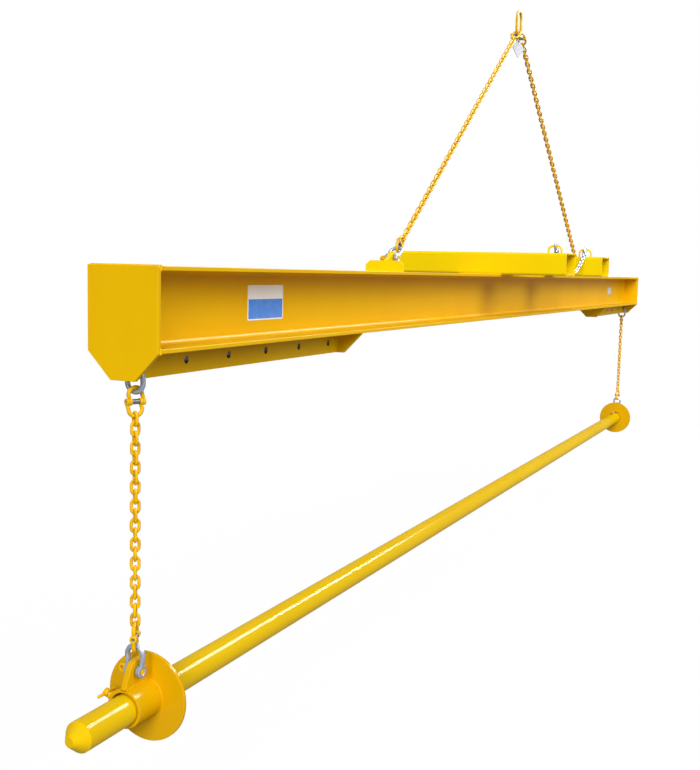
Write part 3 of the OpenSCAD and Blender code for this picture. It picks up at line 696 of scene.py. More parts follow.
class Solid:
    """A mesh in the making, in millimetres."""

    def __init__(self) -> None:
        """Starts empty."""
        self.mesh = bmesh.new()

    def _band(self, low: list[bmesh.types.BMVert], high: list[bmesh.types.BMVert]) -> None:
        """Faces between two rings of as many points, or between a ring and one point.

        Args:
            low: First ring, or one point.
            high: Second ring, or one point.
        """
        count = max(len(low), len(high))
        for k in range(count):
            after = (k + 1) % count
            if len(low) == 1:
                corners = [low[0], high[after], high[k]]
            elif len(high) == 1:
                corners = [low[k], low[after], high[0]]
            else:
                corners = [low[k], low[after], high[after], high[k]]
            self.mesh.faces.new(corners)

    def sweep(
        self,
        path: Sequence[Vector],
        radius: float | Callable[[float], float],
        place: Matrix,
        sides: int,
        closed: bool = False,
    ) -> None:
        """Round wire along a path.

        Args:
            path: Points of the wire's middle.
            radius: The wire's radius, or its radius at a share of the path from zero to one.
            place: Where the path's own frame is.
            sides: Points round the wire.
            closed: Whether the path ends where it starts.
        """
        count = len(path)
        across = None
        rings = []
        for k, point in enumerate(path):
            ahead = path[(k + 1) % count] if closed or k + 1 < count else point
            back = path[k - 1] if closed or k else point
            along = (ahead - back).normalized()
            if across is None:
                across = along.orthogonal()
            across = (across - along * across.dot(along)).normalized()
            other = along.cross(across)
            size = radius(k / max(count - 1, 1)) if callable(radius) else radius
            spokes = [math.tau * j / sides for j in range(sides)]
            rings.append([
                self.mesh.verts.new(place @ (point + size * (across * math.cos(a) + other * math.sin(a))))
                for a in spokes
            ])
        for k in range(count if closed else count - 1):
            self._band(rings[k], rings[(k + 1) % count])
        if not closed:
            self.mesh.faces.new(rings[0])
            self.mesh.faces.new(rings[-1])

    def lathe(self, profile: Loop, place: Matrix, segments: int) -> None:
        """Turns a profile of radius and height about Z.

        Args:
            profile: A loop clear of the axis, or a line from the axis to the axis.
            place: Where the axis is.
            segments: Points round the axis.
        """
        rings = []
        for radius, height in profile:
            steps = segments if radius > 0 else 1
            rings.append([
                self.mesh.verts.new(place @ Vector((radius * math.cos(a), radius * math.sin(a), height)))
                for a in [math.tau * j / segments for j in range(steps)]
            ])
        for low, high in zip(rings, rings[1:]):
            self._band(low, high)
        if len(rings[0]) > 1:
            self._band(rings[-1], rings[0])

    def slab(
        self,
        outline: Loop,
        holes: Iterable[Loop],
        thickness: float,
        edge: float,
        place: Matrix,
    ) -> None:
        """Plate with rounded edges, its thickness shared about the drawing's plane.

        Args:
            outline: Outer edge.
            holes: Edges of the holes.
            thickness: Thickness of the plate.
            edge: Radius of the rounded edges.
            place: Where the drawing's plane is.
        """
        half = thickness / 2
        turns = [math.radians(90 * k / EDGE_STEPS) for k in range(EDGE_STEPS + 1)]
        levels = [(edge - edge * math.sin(a), edge - edge * math.cos(a)) for a in turns]
        caps: dict[float, list[bmesh.types.BMEdge]] = {half: [], -half: []}
        for number, loop in enumerate([outline, *holes]):
            wanted = 1 if number == 0 else -1
            loop = loop if area(loop) * wanted > 0 else loop[::-1]
            steps = [(-half + down, back) for back, down in levels]
            steps += [(half - down, back) for back, down in reversed(levels)]
            rings = []
            for height, back in steps:
                points = inset(loop, back)
                rings.append([self.mesh.verts.new(place @ Vector((x, y, height))) for x, y in points])
            for low, high in zip(rings, rings[1:]):
                self._band(low, high)
            for height, ring in ((-half, rings[0]), (half, rings[-1])):
                for a, b in zip(ring, [*ring[1:], ring[0]]):
                    caps[height].append(self.mesh.edges.get((a, b)))
        for edges in caps.values():
            bmesh.ops.triangle_fill(self.mesh, use_beauty=True, edges=edges)

    def bead(self, path: Sequence[Vector], size: float, place: Matrix, closed: bool = False) -> None:
        """Weld bead with its ripples along a path.

        Args:
            path: Corners or close points of the bead's root.
            size: Radius of the bead.
            place: Where the path's own frame is.
            closed: Whether the bead ends where it starts.
        """
        ends = [*path, path[0]] if closed else list(path)
        fine: list[Vector] = []
        for a, b in zip(ends, ends[1:]):
            steps = max(1, round((b - a).length / (RIPPLE_STEP * size)))
            fine += [a.lerp(b, k / steps) for k in range(steps)]
        if not closed:
            fine.append(ends[-1])
        last = len(fine) - 1

        def ripple(share: float) -> float:
            """Radius along the bead, low at every second point."""
            return size * (1.0 if round(share * last) % 2 else RIPPLE_LOW)

        self.sweep(fine, ripple, place, BEAD_SIDES, closed)

    def face_led_normals(self) -> list[Vector]:
        """Normal at each face's corners, led by the large faces there: flats stay flat beside rounds.

        Returns:
            The normals, in the order of the faces' corners.
        """
        bend = math.cos(SMOOTH_ANGLE)
        self.mesh.normal_update()
        sizes = {face: face.calc_area() for face in self.mesh.faces}
        normals = []
        for face in self.mesh.faces:
            for corner in face.loops:
                near = [f for f in corner.vert.link_faces if f.normal.dot(face.normal) > bend]
                normals.append(sum((f.normal * sizes[f] for f in near), Vector()).normalized())
        return normals

    def piece(self, name: str, finish: Finish, body: str, *nodes: str) -> None:
        """Turns the mesh into a piece of the object.

        Args:
            name: Name of the piece.
            finish: What it is dressed in.
            body: Body that it moves with.
            nodes: Solids that it stands for.
        """
        bmesh.ops.remove_doubles(self.mesh, verts=self.mesh.verts, dist=MERGE_GAP)
        bmesh.ops.recalc_face_normals(self.mesh, faces=self.mesh.faces)
        bmesh.ops.scale(self.mesh, vec=(MM, MM, MM), verts=self.mesh.verts)
        normals = self.face_led_normals()
        data = bpy.data.meshes.new(name)
        self.mesh.to_mesh(data)
        self.mesh.free()
        data.shade_smooth()
        data.set_sharp_from_angle(angle=SMOOTH_ANGLE)
        data.normals_split_custom_set(normals)
        data.materials.append(finish.material())
        made = bpy.data.objects.new(name, data)
        bpy.context.scene.collection.objects.link(made)
        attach(made, body)
        if nodes:
            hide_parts(*nodes)
        LOG.info("%s: %d faces on %s", name, len(data.polygons), body)


def flat_path(points: Loop, stand: Matrix) -> list[Vector]:
    """Points drawn in XY, stood up by a matrix."""
    return [stand @ Vector((x, y, 0)) for x, y in points]


@dataclass(frozen=True)
class Link:
    """An oblong link in XZ with its length along Z and a swell at the weld on one side."""

    wire: float
    inner_length: float
    inner_width: float
    weld_swell: float = 0.0
    weld_reach: float = 0.35

    def draw(self, solid: Solid, place: Matrix, sides: int = 10, bend_steps: int = 9) -> None:
        """Adds the link to a solid.

        Args:
            solid: What it is added to.
            place: Where its own frame is.
            sides: Points round the wire.
            bend_steps: Steps in each bend.
        """
        radius = (self.inner_width + self.wire) / 2
        straight = (self.inner_length - self.inner_width) / 2
        top = arc((0, straight), radius, 0, 180, bend_steps)
        bottom = arc((0, -straight), radius, 180, 360, bend_steps)
        weld = [(radius, share * straight) for share in (-self.weld_reach, 0.0, self.weld_reach)]
        path = flat_path(weld + top + bottom, STAND_XZ)
        last = len(path) - 1

        def size(share: float) -> float:
            """Wire radius along the link, with the swell at the weld."""
            return self.wire / 2 + (self.weld_swell if round(share * last) == 1 else 0.0)

        solid.sweep(path, size, place, sides, closed=True)


@dataclass(frozen=True)
class Shackle:
    """A shackle with its pin along Y at the origin and its bow upwards.

    The fields from ear_share on are shares of the ear's radius, of the wire and then of the pin. The last
    is a share of the eye's radius.
    """

    wire: float
    pin: float
    jaw: float
    bow_inner: float
    reach: float
    ear: float
    bow_finish: Finish
    pin_finish: Finish
    fit: float = 0.1
    swell: float = 0.4
    swell_start: float = 0.6
    ear_share: float = 0.68
    wire_edge: float = 0.2
    collar_radius: float = 0.75
    collar_length: float = 0.25
    collar_edge: float = 0.1
    pin_edge: float = 0.08
    eye_radius: float = 0.75
    eye_hole: float = 0.34
    eye_half: float = 0.25
    eye_edge: float = 0.14
    eye_lift: float = 0.8

    def bow(self, solid: Solid, place: Matrix) -> None:
        """Adds the bow with its two eyes.

        Args:
            solid: What it is added to.
            place: Where its own frame is.
        """
        radius = self.bow_inner + self.wire / 2
        crown = self.reach + self.wire / 2 - radius
        ear_y = (self.jaw + self.wire) / 2
        far = math.hypot(ear_y, crown)
        flare = math.degrees(math.atan2(crown, ear_y) - math.acos(radius / far))
        bend = arc((0, crown), radius, -flare, 180 + flare, steps=28)
        touch = Vector(bend[0])
        start = Vector((ear_y, 0)).lerp(touch, self.ear_share * self.ear / math.hypot(far, radius))
        line = [tuple(start), tuple(start.lerp(touch, 0.5)), *bend]
        line += [(-line[1][0], line[1][1]), (-line[0][0], line[0][1])]

        def size(share: float) -> float:
            """Wire radius, a little stouter in the legs."""
            return self.wire / 2 + self.swell * max(0.0, abs(2 * share - 1) - self.swell_start)

        solid.sweep(flat_path(line, STAND_YZ), size, place, sides=18)
        half, edge = self.wire / 2, self.wire_edge * self.wire
        ring = ring_profile(self.pin / 2 + self.fit, self.ear, -half, half, edge)
        for y in (ear_y, -ear_y):
            solid.lathe(ring, place @ at(0, y, 0) @ turn("X", 90), segments=48)

    def screw_pin(self, solid: Solid, place: Matrix) -> None:
        """Adds the screw pin with its collar and eye.

        Args:
            solid: What it is added to.
            place: Where its own frame is.
        """
        half = self.jaw / 2 + self.wire
        face = half + self.collar_length * self.pin
        along = place @ turn("X", -90)
        shank = rod_profile(self.pin / 2, -half, face, self.pin_edge * self.pin)
        collar = rod_profile(self.collar_radius * self.pin, half, face, self.collar_edge * self.pin)
        for profile in (shank, collar):
            solid.lathe(profile, along, segments=36)
        eye, flat = self.eye_radius * self.pin, self.eye_half * self.pin
        ring = ring_profile(self.eye_hole * self.pin, eye, -flat, flat, self.eye_edge * self.pin)
        solid.lathe(ring, place @ at(0, face + self.eye_lift * eye, 0) @ ALONG_X, segments=36)

    def build(self, places: Iterable[Matrix], piece: str, node: str, body: str, ending: str = "") -> None:
        """Builds and dresses shackles, with one piece of bows and one of pins.

        Args:
            places: Where the shackles are.
            piece: Start of the pieces' names.
            node: Start of the names of the nodes that they stand for.
            body: Body that they move with.
            ending: End of all these names.
        """
        bows, pins = Solid(), Solid()
        for place in places:
            self.bow(bows, place)
            self.screw_pin(pins, place)
        bows.piece(f"{piece}_bow{ending}", self.bow_finish, body, f"{node}_bow{ending}")
        pins.piece(f"{piece}_screw_pin{ending}", self.pin_finish, body, f"{node}_pin{ending}")


@dataclass(frozen=True)
class Coupler:
    """A forged coupler of two halves on a pin along X, with its length along Z."""

    wire: float = 10.0
    inner_width: float = 26.0
    length: float = 70.0
    pin: float = 8.0
    knuckle: float = 9.0
    knuckle_width: float = 7.2
    knuckle_edge: float = 1.4
    gap: float = 0.3
    pin_inset: float = 1.5
    pin_edge: float = 0.8
    sleeve: float = 13.0
    sleeve_edge: float = 0.7
    fit: float = 0.1
    root_share: float = 0.72
    neck_rise: Point = (3.0, 7.0)
    neck_shift: Point = (0.3, 0.6)
    neck_slim: float = 1.3

    @property
    def reach(self) -> float:
        """Distance from the middle to each shank."""
        return (self.inner_width + self.wire) / 2

    def halves(self, solid: Solid, place: Matrix) -> None:
        """Adds both halves, each with an outer and an inner knuckle.

        Args:
            solid: What it is added to.
            place: Where its own frame is.
        """
        bend_z = self.length / 2 - self.reach
        outer = self.reach + self.gap / 2 + self.knuckle_width / 2
        inner = self.reach - self.gap / 2 - self.knuckle_width / 2
        root = self.root_share * self.knuckle
        low, high = (root + rise for rise in self.neck_rise)
        near_shift, far_shift = self.neck_shift
        line = [(inner, root), (inner + near_shift, low), (self.reach - far_shift, high)]
        line += arc((0, bend_z), self.reach, 0, 180, steps=18)
        line += [(-self.reach - far_shift, high), (-outer + near_shift, low), (-outer, root)]
        last = len(line) - 1

        def size(share: float) -> float:
            """Radius along the half: slim at the knuckles, stout at the shanks."""
            near = min(share, 1 - share) * last
            return self.wire / 2 - self.neck_slim * max(0.0, 1 - near / 2)

        half = self.knuckle_width / 2
        ring = ring_profile(self.pin / 2 + self.fit, self.knuckle, -half, half, self.knuckle_edge)
        for flip in (Matrix(), turn("Y", 180)):
            solid.sweep(flat_path(line, STAND_XZ), size, place @ flip, sides=14)
            for x in (inner, -outer):
                solid.lathe(ring, place @ flip @ at(x, 0, 0) @ ALONG_X, segments=32)

    def pins(self, solid: Solid, place: Matrix) -> None:
        """Adds the load pin."""
        half = self.reach + self.gap / 2 + self.knuckle_width - self.pin_inset
        solid.lathe(rod_profile(self.pin / 2, -half, half, self.pin_edge), place @ ALONG_X, segments=32)

    def sleeves(self, solid: Solid, place: Matrix) -> None:
        """Adds the spring sleeve round the pin's middle.

        Args:
            solid: What it is added to.
            place: Where its own frame is.
        """
        half = self.reach - self.gap / 2 - self.knuckle_width - self.gap
        ring = ring_profile(self.pin / 2 + self.fit, self.sleeve / 2, -half, half, self.sleeve_edge)
        solid.lathe(ring, place @ ALONG_X, segments=32)

    def build(self, places: Sequence[Matrix], prefix: str, body: str) -> None:
        """Builds and dresses couplers, with a piece for each kind of their parts.

        Args:
            places: Where the couplers are.
            prefix: Start of the names of the pieces and of the nodes that they stand for.
            body: Body that they move with.
        """
        kinds = (
            ("halves", self.halves, CHAIN),
            ("pins", self.pins, STEEL),
            ("sleeves", self.sleeves, BLACK),
        )
        for kind, draw, finish in kinds:
            solid = Solid()
            for place in places:
                draw(solid, place)
            solid.piece(f"{prefix}_forged_{kind}", finish, body, f"{prefix}_coupler_{kind}")


LOAD_LINK = Link(wire=8.0, inner_length=24.0, inner_width=10.5, weld_swell=0.45)
LOAD_SHACKLE = Shackle(
    wire=13.0,
    pin=16.0,
    jaw=22.0,
    bow_inner=16.5,
    reach=56.0,
    ear=16.5,
    bow_finish=FORGING,
    pin_finish=YELLOW,
)
SMALL_SHACKLE = Shackle(
    wire=8.0,
    pin=8.0,
    jaw=14.0,
    bow_inner=10.0,
    reach=34.0,
    ear=8.5,
    bow_finish=ZINC,
    pin_finish=ZINC,
)
COUPLER = Coupler()
SEAT_GAP = 0.3
CHAIN_STEP = LOAD_LINK.inner_length - SEAT_GAP
CHAIN_END = LOAD_LINK.inner_length / 2 - COUPLER.wire / 2 - SEAT_GAP
SHACKLE_SEAT = LOAD_SHACKLE.reach - SEAT_GAP - COUPLER.wire / 2


def chain_span(links: int) -> float:
    """Length of a run of chain between the coupler ends that it hangs on."""
    return 2 * CHAIN_END + (links - 1) * CHAIN_STEP


def chain_row(solid: Solid, links: int, twist: float, place: Matrix) -> None:
    """Adds a straight row of load links down from a coupler's end.

    Args:
        solid: What the links are added to.
        links: Number of links.
        twist: Turn from each link to the next, in degrees.
        place: Where the row starts.
    """
    for k in range(1, links + 1):
        LOAD_LINK.draw(solid, place @ at(0, 0, -CHAIN_END - (k - 1) * CHAIN_STEP) @ turn("Z", k * twist))


@dataclass
class Sling:
    """Two legs of chain from a master link, with a tag on a ring."""

    link: Link = Link(wire=14.0, inner_length=105.0, inner_width=56.0)
    links: int = 70
    spread: float = 1475.0
    ring_wire: float = 3.0
    ring_inner: float = 24.0
    tag_diagonal: float = 92.0
    tag_thickness: float = 3.0
    tag_hole: float = 10.0
    tag_hole_drop: float = 13.0
    tag_corner: float = 5.0
    tag_edge: float = 0.6
    tag_turn: float = 20.0
    body: str = "sling"

    @property
    def crown_z(self) -> float:
        """Height of the middle of the master link's bottom bend."""
        return -(self.link.inner_length - self.link.inner_width / 2)

    @property
    def start(self) -> float:
        """Distance from that middle to the upper coupler's end."""
        return self.link.inner_width / 2 - SEAT_GAP - COUPLER.wire / 2

    @property
    def length(self) -> float:
        """Distance from that middle to the top shackle's pin."""
        return self.start + 2 * COUPLER.length + chain_span(self.links) + SHACKLE_SEAT

    @property
    def angle(self) -> float:
        """Slope of the legs in degrees."""
        return math.degrees(math.acos(self.spread / self.length))

    @property
    def pin_z(self) -> float:
        """Height of the top shackles' pins."""
        return self.crown_z - self.length * math.sin(math.radians(self.angle))

    def on_leg(self, side: Side, along: float) -> Matrix:
        """Frame at a distance down a leg, with its Z down the leg."""
        return side.matrix @ at(0, 0, self.crown_z) @ turn("Y", 90 + self.angle) @ at(0, 0, along)

    def build(self) -> None:
        """Builds and dresses the sling."""
        top = Solid()
        self.link.draw(top, at(0, 0, -self.link.inner_length / 2), sides=24, bend_steps=24)
        top.piece("master_link_forged", CHAIN, "master_link", "master_link")
        for side in BOTH:
            chain = Solid()
            upper = self.on_leg(side, self.start + COUPLER.length)
            start = upper @ turn("Z", 90) @ turn("X", 180)
            chain_row(chain, self.links, twist=90, place=start)
            chain.piece(f"{side.label}_leg_links", CHAIN, self.body, f"{side.label}_leg_chain")
        places = []
        for side in BOTH:
            places.append(self.on_leg(side, self.start + COUPLER.length / 2) @ turn("Z", 90))
            places.append(self.on_leg(side, self.length - SHACKLE_SEAT - COUPLER.length / 2))
        COUPLER.build(places, "sling", self.body)
        self.build_tag()

    def build_tag(self) -> None:
        """Builds the ring under the master link and the diamond tag on it."""
        ring_r = (self.ring_inner + self.ring_wire) / 2
        ring_z = -self.link.inner_length + SEAT_GAP - self.ring_inner / 2
        hole_z = ring_z - self.ring_inner / 2 + SEAT_GAP - self.tag_hole / 2
        ring = Solid()
        path = flat_path(circle((0, 0), ring_r), STAND_YZ)
        ring.sweep(path, self.ring_wire / 2, at(0, 0, ring_z), sides=10, closed=True)
        ring.piece("split_ring", ZINC, "tag", "tag_ring")
        half = self.tag_diagonal / 2
        corners = [(x, y, self.tag_corner) for x, y in ((half, 0), (0, half), (-half, 0), (0, -half))]
        tag = Solid()
        place = at(0, 0, hole_z + self.tag_hole_drop - half) @ turn("Z", -self.tag_turn) @ STAND_XZ
        hole = circle((0, half - self.tag_hole_drop), self.tag_hole / 2, steps=24)
        tag.slab(soft_corners(corners), [hole], self.tag_thickness, self.tag_edge, place)
        tag.piece("diamond_tag", WHITE, "tag", "sling_tag")


@dataclass
class Beam:
    """Wide-flange beam with its end plates, lug plates and gussets."""

    top: float
    length: float = 6100.0
    height: float = 203.0
    width: float = 203.0
    flange: float = 11.0
    web: float = 7.3
    root: float = 11.4
    tip: float = 1.8
    cut_edge: float = 0.6
    end_plate: float = 12.0
    tab_height: float = 67.0
    tab_width: float = 70.0
    tab_corner: float = 2.0
    lug_plate: float = 16.0
    lug_corner: float = 1.0
    holes: int = 6
    hole_pitch: float = 200.0
    hole: float = 20.0
    hole_inset: float = 50.0
    hole_drop: float = 33.5
    # Wall of the thin dark linings in the unused holes, which are painted shade inside them.
    bare: float = 0.15
    tail: float = 60.0
    gusset: float = 10.0
    edge: float = 1.2
    weld: float = 3.2
    weld_foot: float = 4.0
    weld_inset: float = 5.0
    body: str = "beam"

    @property
    def under(self) -> float:
        """Height of the beam's underside."""
        return self.top - self.height

    @property
    def end(self) -> float:
        """Distance from the middle to the end plates' faces."""
        return self.length / 2

    @property
    def hang_x(self) -> float:
        """Distance from the middle to the first hanging holes."""
        return self.end - self.hole_inset

    @property
    def lug_inner(self) -> float:
        """Distance from the middle to the lug plates' inner ends."""
        return self.hang_x - (self.holes - 1) * self.hole_pitch - self.tail

    def section(self) -> Loop:
        """Outline of the rolled section, its top edge at zero.

        Returns:
            The outline, across the beam and up.
        """
        half, web, low = self.width / 2, self.web / 2, -self.height
        right = [
            (half, low, self.tip),
            (half, low + self.flange, self.tip),
            (web, low + self.flange, self.root),
            (web, -self.flange, self.root),
            (half, -self.flange, self.tip),
            (half, 0, self.tip),
        ]
        left = [(-x, y, r) for x, y, r in reversed(right)]
        return soft_corners(right + left, steps=8)

    def tab(self, top: float) -> Loop:
        """Tapered outline of a gusset or an end plate.

        Args:
            top: Height of the plate's top over the beam's underside.

        Returns:
            The outline, with zero at the beam's underside.
        """
        half, foot = self.width / 2, self.tab_width / 2
        shoulders = [(half, 0), (half, top), (-half, top), (-half, 0)] if top else [(half, 0), (-half, 0)]
        points = [*shoulders, (-foot, -self.tab_height), (foot, -self.tab_height)]
        return soft_corners([(*point, self.tab_corner) for point in points])

    def build(self) -> None:
        """Builds and dresses the beam."""
        rolled = Solid()
        length = self.length - 2 * self.end_plate
        rolled.slab(self.section(), [], length, self.cut_edge, at(0, 0, self.top) @ STAND_YZ)
        rolled.piece("rolled_section", YELLOW, self.body, "main_beam")
        gussets = Solid()
        for side in BOTH:
            plate = Solid()
            at_end = side.matrix @ at(self.end - self.end_plate / 2, 0, self.under) @ STAND_YZ
            plate.slab(self.tab(self.height), [], self.end_plate, self.edge, at_end)
            plate.piece(f"{side.label}_end_cap", YELLOW, self.body, f"{side.label}_end_plate")
            self.build_lug_plate(side)
            inner = side.matrix @ at(self.lug_inner - self.gusset / 2, 0, self.under) @ STAND_YZ
            gussets.slab(self.tab(0), [], self.gusset, self.edge, inner)
        gussets.piece("gusset_pair", YELLOW, self.body, "lug_gussets")
        self.build_welds()

    def build_lug_plate(self, side: Side) -> None:
        """Builds the plate with the row of hanging holes; those not in use get a thin dark lining, which
        is painted shade inside them.

        Args:
            side: End of the beam.
        """
        outer, low = self.end - self.end_plate, -self.tab_height
        points = ((self.lug_inner, low), (outer, low), (outer, 0), (self.lug_inner, 0))
        outline = soft_corners([(*point, self.lug_corner) for point in points])
        places = [self.hang_x - k * self.hole_pitch for k in range(self.holes)]
        holes = [circle((x, -self.hole_drop), self.hole / 2) for x in places]
        solid = Solid()
        under = side.matrix @ at(0, 0, self.under) @ STAND_XZ
        solid.slab(outline, holes, self.lug_plate, self.edge, under)
        solid.piece(f"{side.label}_hanging_plate", YELLOW, self.body, f"{side.label}_lug_plate")
        # A thin dark steel lining in each unused hole: painted shade inside the holes.
        shade_bores = Solid()
        half = self.lug_plate / 2 - self.edge
        shade_lining = ring_profile(self.hole / 2 - self.bare, self.hole / 2, -half, half, self.bare / 3)
        for x in places[1:]:
            middle = side.matrix @ at(x, 0, self.under - self.hole_drop)
            shade_bores.lathe(shade_lining, middle @ STAND_XZ, segments=48)
        shade_bores.piece(f"{side.label}_bare_bores", BLACK, self.body)

    def build_welds(self) -> None:
        """Builds the beads that join the plates to the beam."""
        welds = Solid()
        outer, half = self.end - self.end_plate, self.lug_plate / 2
        foot = self.under - self.tab_height + self.weld_foot
        reach = self.width / 2 - self.weld_inset
        for side in BOTH:
            outline = [Vector((outer, y, self.top + z)) for y, z in self.section()]
            welds.bead(outline, self.weld, side.matrix, closed=True)
            for y in (half, -half):
                line = [Vector((x, y, self.under)) for x in (self.lug_inner, outer)]
                welds.bead(line, self.weld, side.matrix)
                for x in (self.lug_inner, outer):
                    line = [Vector((x, y, z)) for z in (self.under, foot)]
                    welds.bead(line, self.weld, side.matrix)
            for x in (self.lug_inner, self.lug_inner - self.gusset):
                line = [Vector((x, y, self.under)) for y in (-reach, reach)]
                welds.bead(line, self.weld, side.matrix)
        welds.piece("beam_welds", YELLOW, self.body)


@dataclass
class WebPlates:
    """The blank rating plate and data plate on the beam's web."""

    beam: Beam
    thickness: float = 1.5
    corner: float = 6.0
    drop: float = 97.5
    edge: float = 0.4
    rating: Point = (200.0, 100.0)
    rating_inset: float = 550.0
    data: Point = (119.0, 51.0)
    data_inset: float = 527.0
    print_pale: Colour = (0.86, 0.87, 0.88)
    print_field: Colour = (0.015, 0.2, 0.78)
    print_split: float = 0.6
    print_border: float = 0.004

    def build(self) -> None:
        """Builds and dresses both plates."""
        rating_x = -self.beam.end + self.rating_inset + self.rating[0] / 2
        data_x = self.beam.end - self.data_inset - self.data[0] / 2
        low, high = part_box("rating_plate")
        two_tone = TwoTonePrint(
            slot="printed_label",
            pale=self.print_pale,
            field=self.print_field,
            left=low.x,
            right=high.x,
            low=low.z,
            high=high.z,
            split=self.print_split,
            border=self.print_border,
        )
        self.plate(rating_x, self.rating).piece("blank_rating_plate", two_tone, "beam", "rating_plate")
        self.plate(data_x, self.data).piece("blank_data_plate", WHITE, "beam", "data_plate")

    def plate(self, x: float, size: Point) -> Solid:
        """Draws one plate on the web's near side.

        Args:
            x: Middle of the plate along the beam.
            size: Its width and height.

        Returns:
            The plate's mesh.
        """
        solid = Solid()
        place = at(x, -(self.beam.web + self.thickness) / 2, self.beam.top - self.drop) @ STAND_XZ
        solid.slab(oblong(*size, self.corner), [], self.thickness, self.edge, place)
        return solid


@dataclass
class ForkPockets:
    """Two box sections across the beam for a lift truck's tines, with eyes for the safety chain."""

    beam: Beam
    length: float = 800.0
    width: float = 175.0
    height: float = 100.0
    wall: float = 6.0
    corner: float = 12.0
    pitch: float = 750.0
    edge: float = 0.8
    weld: float = 4.0
    tuck_share: float = 0.55
    weld_lift: float = 1.2
    eye_weld: float = 2.0
    eye_rod: float = 10.0
    eye_width: float = 60.0
    eye_height: float = 40.0
    eye_bend: float = 20.0
    eye_inset: float = 92.0
    eye_setback: float = 18.5

    @property
    def top(self) -> float:
        """Height of the pockets' tops."""
        return self.beam.top + self.height

    @property
    def eye_x(self) -> float:
        """Distance from the middle to the eyes."""
        return (self.pitch - self.width) / 2 + self.eye_setback

    @property
    def eye_y(self) -> float:
        """Place of the eyes across the beam."""
        return -(self.length / 2 - self.eye_inset)

    @property
    def eye_z(self) -> float:
        """Height of the middle of the eyes' top bars."""
        return self.top + self.eye_height - self.eye_rod / 2

    def build(self) -> None:
        """Builds and dresses the pockets, their eyes and their welds."""
        walls = 2 * self.wall
        outline = oblong(self.width, self.height, self.corner, steps=8)
        bore = oblong(self.width - walls, self.height - walls, self.corner - self.wall, steps=8)
        for side in BOTH:
            tube = Solid()
            place = side.matrix @ at(self.pitch / 2, 0, self.beam.top + self.height / 2) @ STAND_XZ
            tube.slab(outline, [bore], self.length, self.edge, place)
            tube.piece(f"{side.label}_tine_box", PAINTED_LIGHT_YELLOW, "beam", f"{side.label}_fork_pocket")
        self.build_eyes()
        self.build_welds()

    def build_eyes(self) -> None:
        """Builds the bent rod eyes."""
        half, post = self.eye_width / 2, self.eye_height - self.eye_rod / 2 - self.eye_bend
        bend = half - self.eye_bend
        line = [(half, 0.0), *arc((bend, post), self.eye_bend, 0, 90, steps=10)]
        line += [(-x, y) for x, y in reversed(line)]
        eyes = Solid()
        for side in BOTH:
            place = side.matrix @ at(self.eye_x, self.eye_y, self.top)
            eyes.sweep(flat_path(line, STAND_YZ), self.eye_rod / 2, place, sides=18)
        eyes.piece("rod_eyes", PAINTED_LIGHT_YELLOW, "beam", "safety_eyes")

    def build_welds(self) -> None:
        """Builds the beads under the pockets and round the eyes' feet."""
        welds = Solid()
        reach, foot = self.width / 2 - self.tuck_share * self.corner, self.beam.width / 2
        lifted = self.beam.top + self.weld_lift
        for side in BOTH:
            for x in (self.pitch / 2 - reach, self.pitch / 2 + reach):
                welds.bead([Vector((x, y, lifted)) for y in (-foot, foot)], self.weld, side.matrix)
            for y in (-foot, foot):
                line = [Vector((self.pitch / 2 + x, y, self.beam.top)) for x in (-reach, reach)]
                welds.bead(line, self.weld, side.matrix)
            for y in (-self.eye_width / 2, self.eye_width / 2):
                rim = circle((self.eye_x, self.eye_y + y), self.eye_rod / 2, steps=16)
                line = [Vector((*point, self.top)) for point in rim]
                welds.bead(line, self.eye_weld, side.matrix, closed=True)
        welds.piece("pocket_welds", PAINTED_LIGHT_YELLOW, "beam")


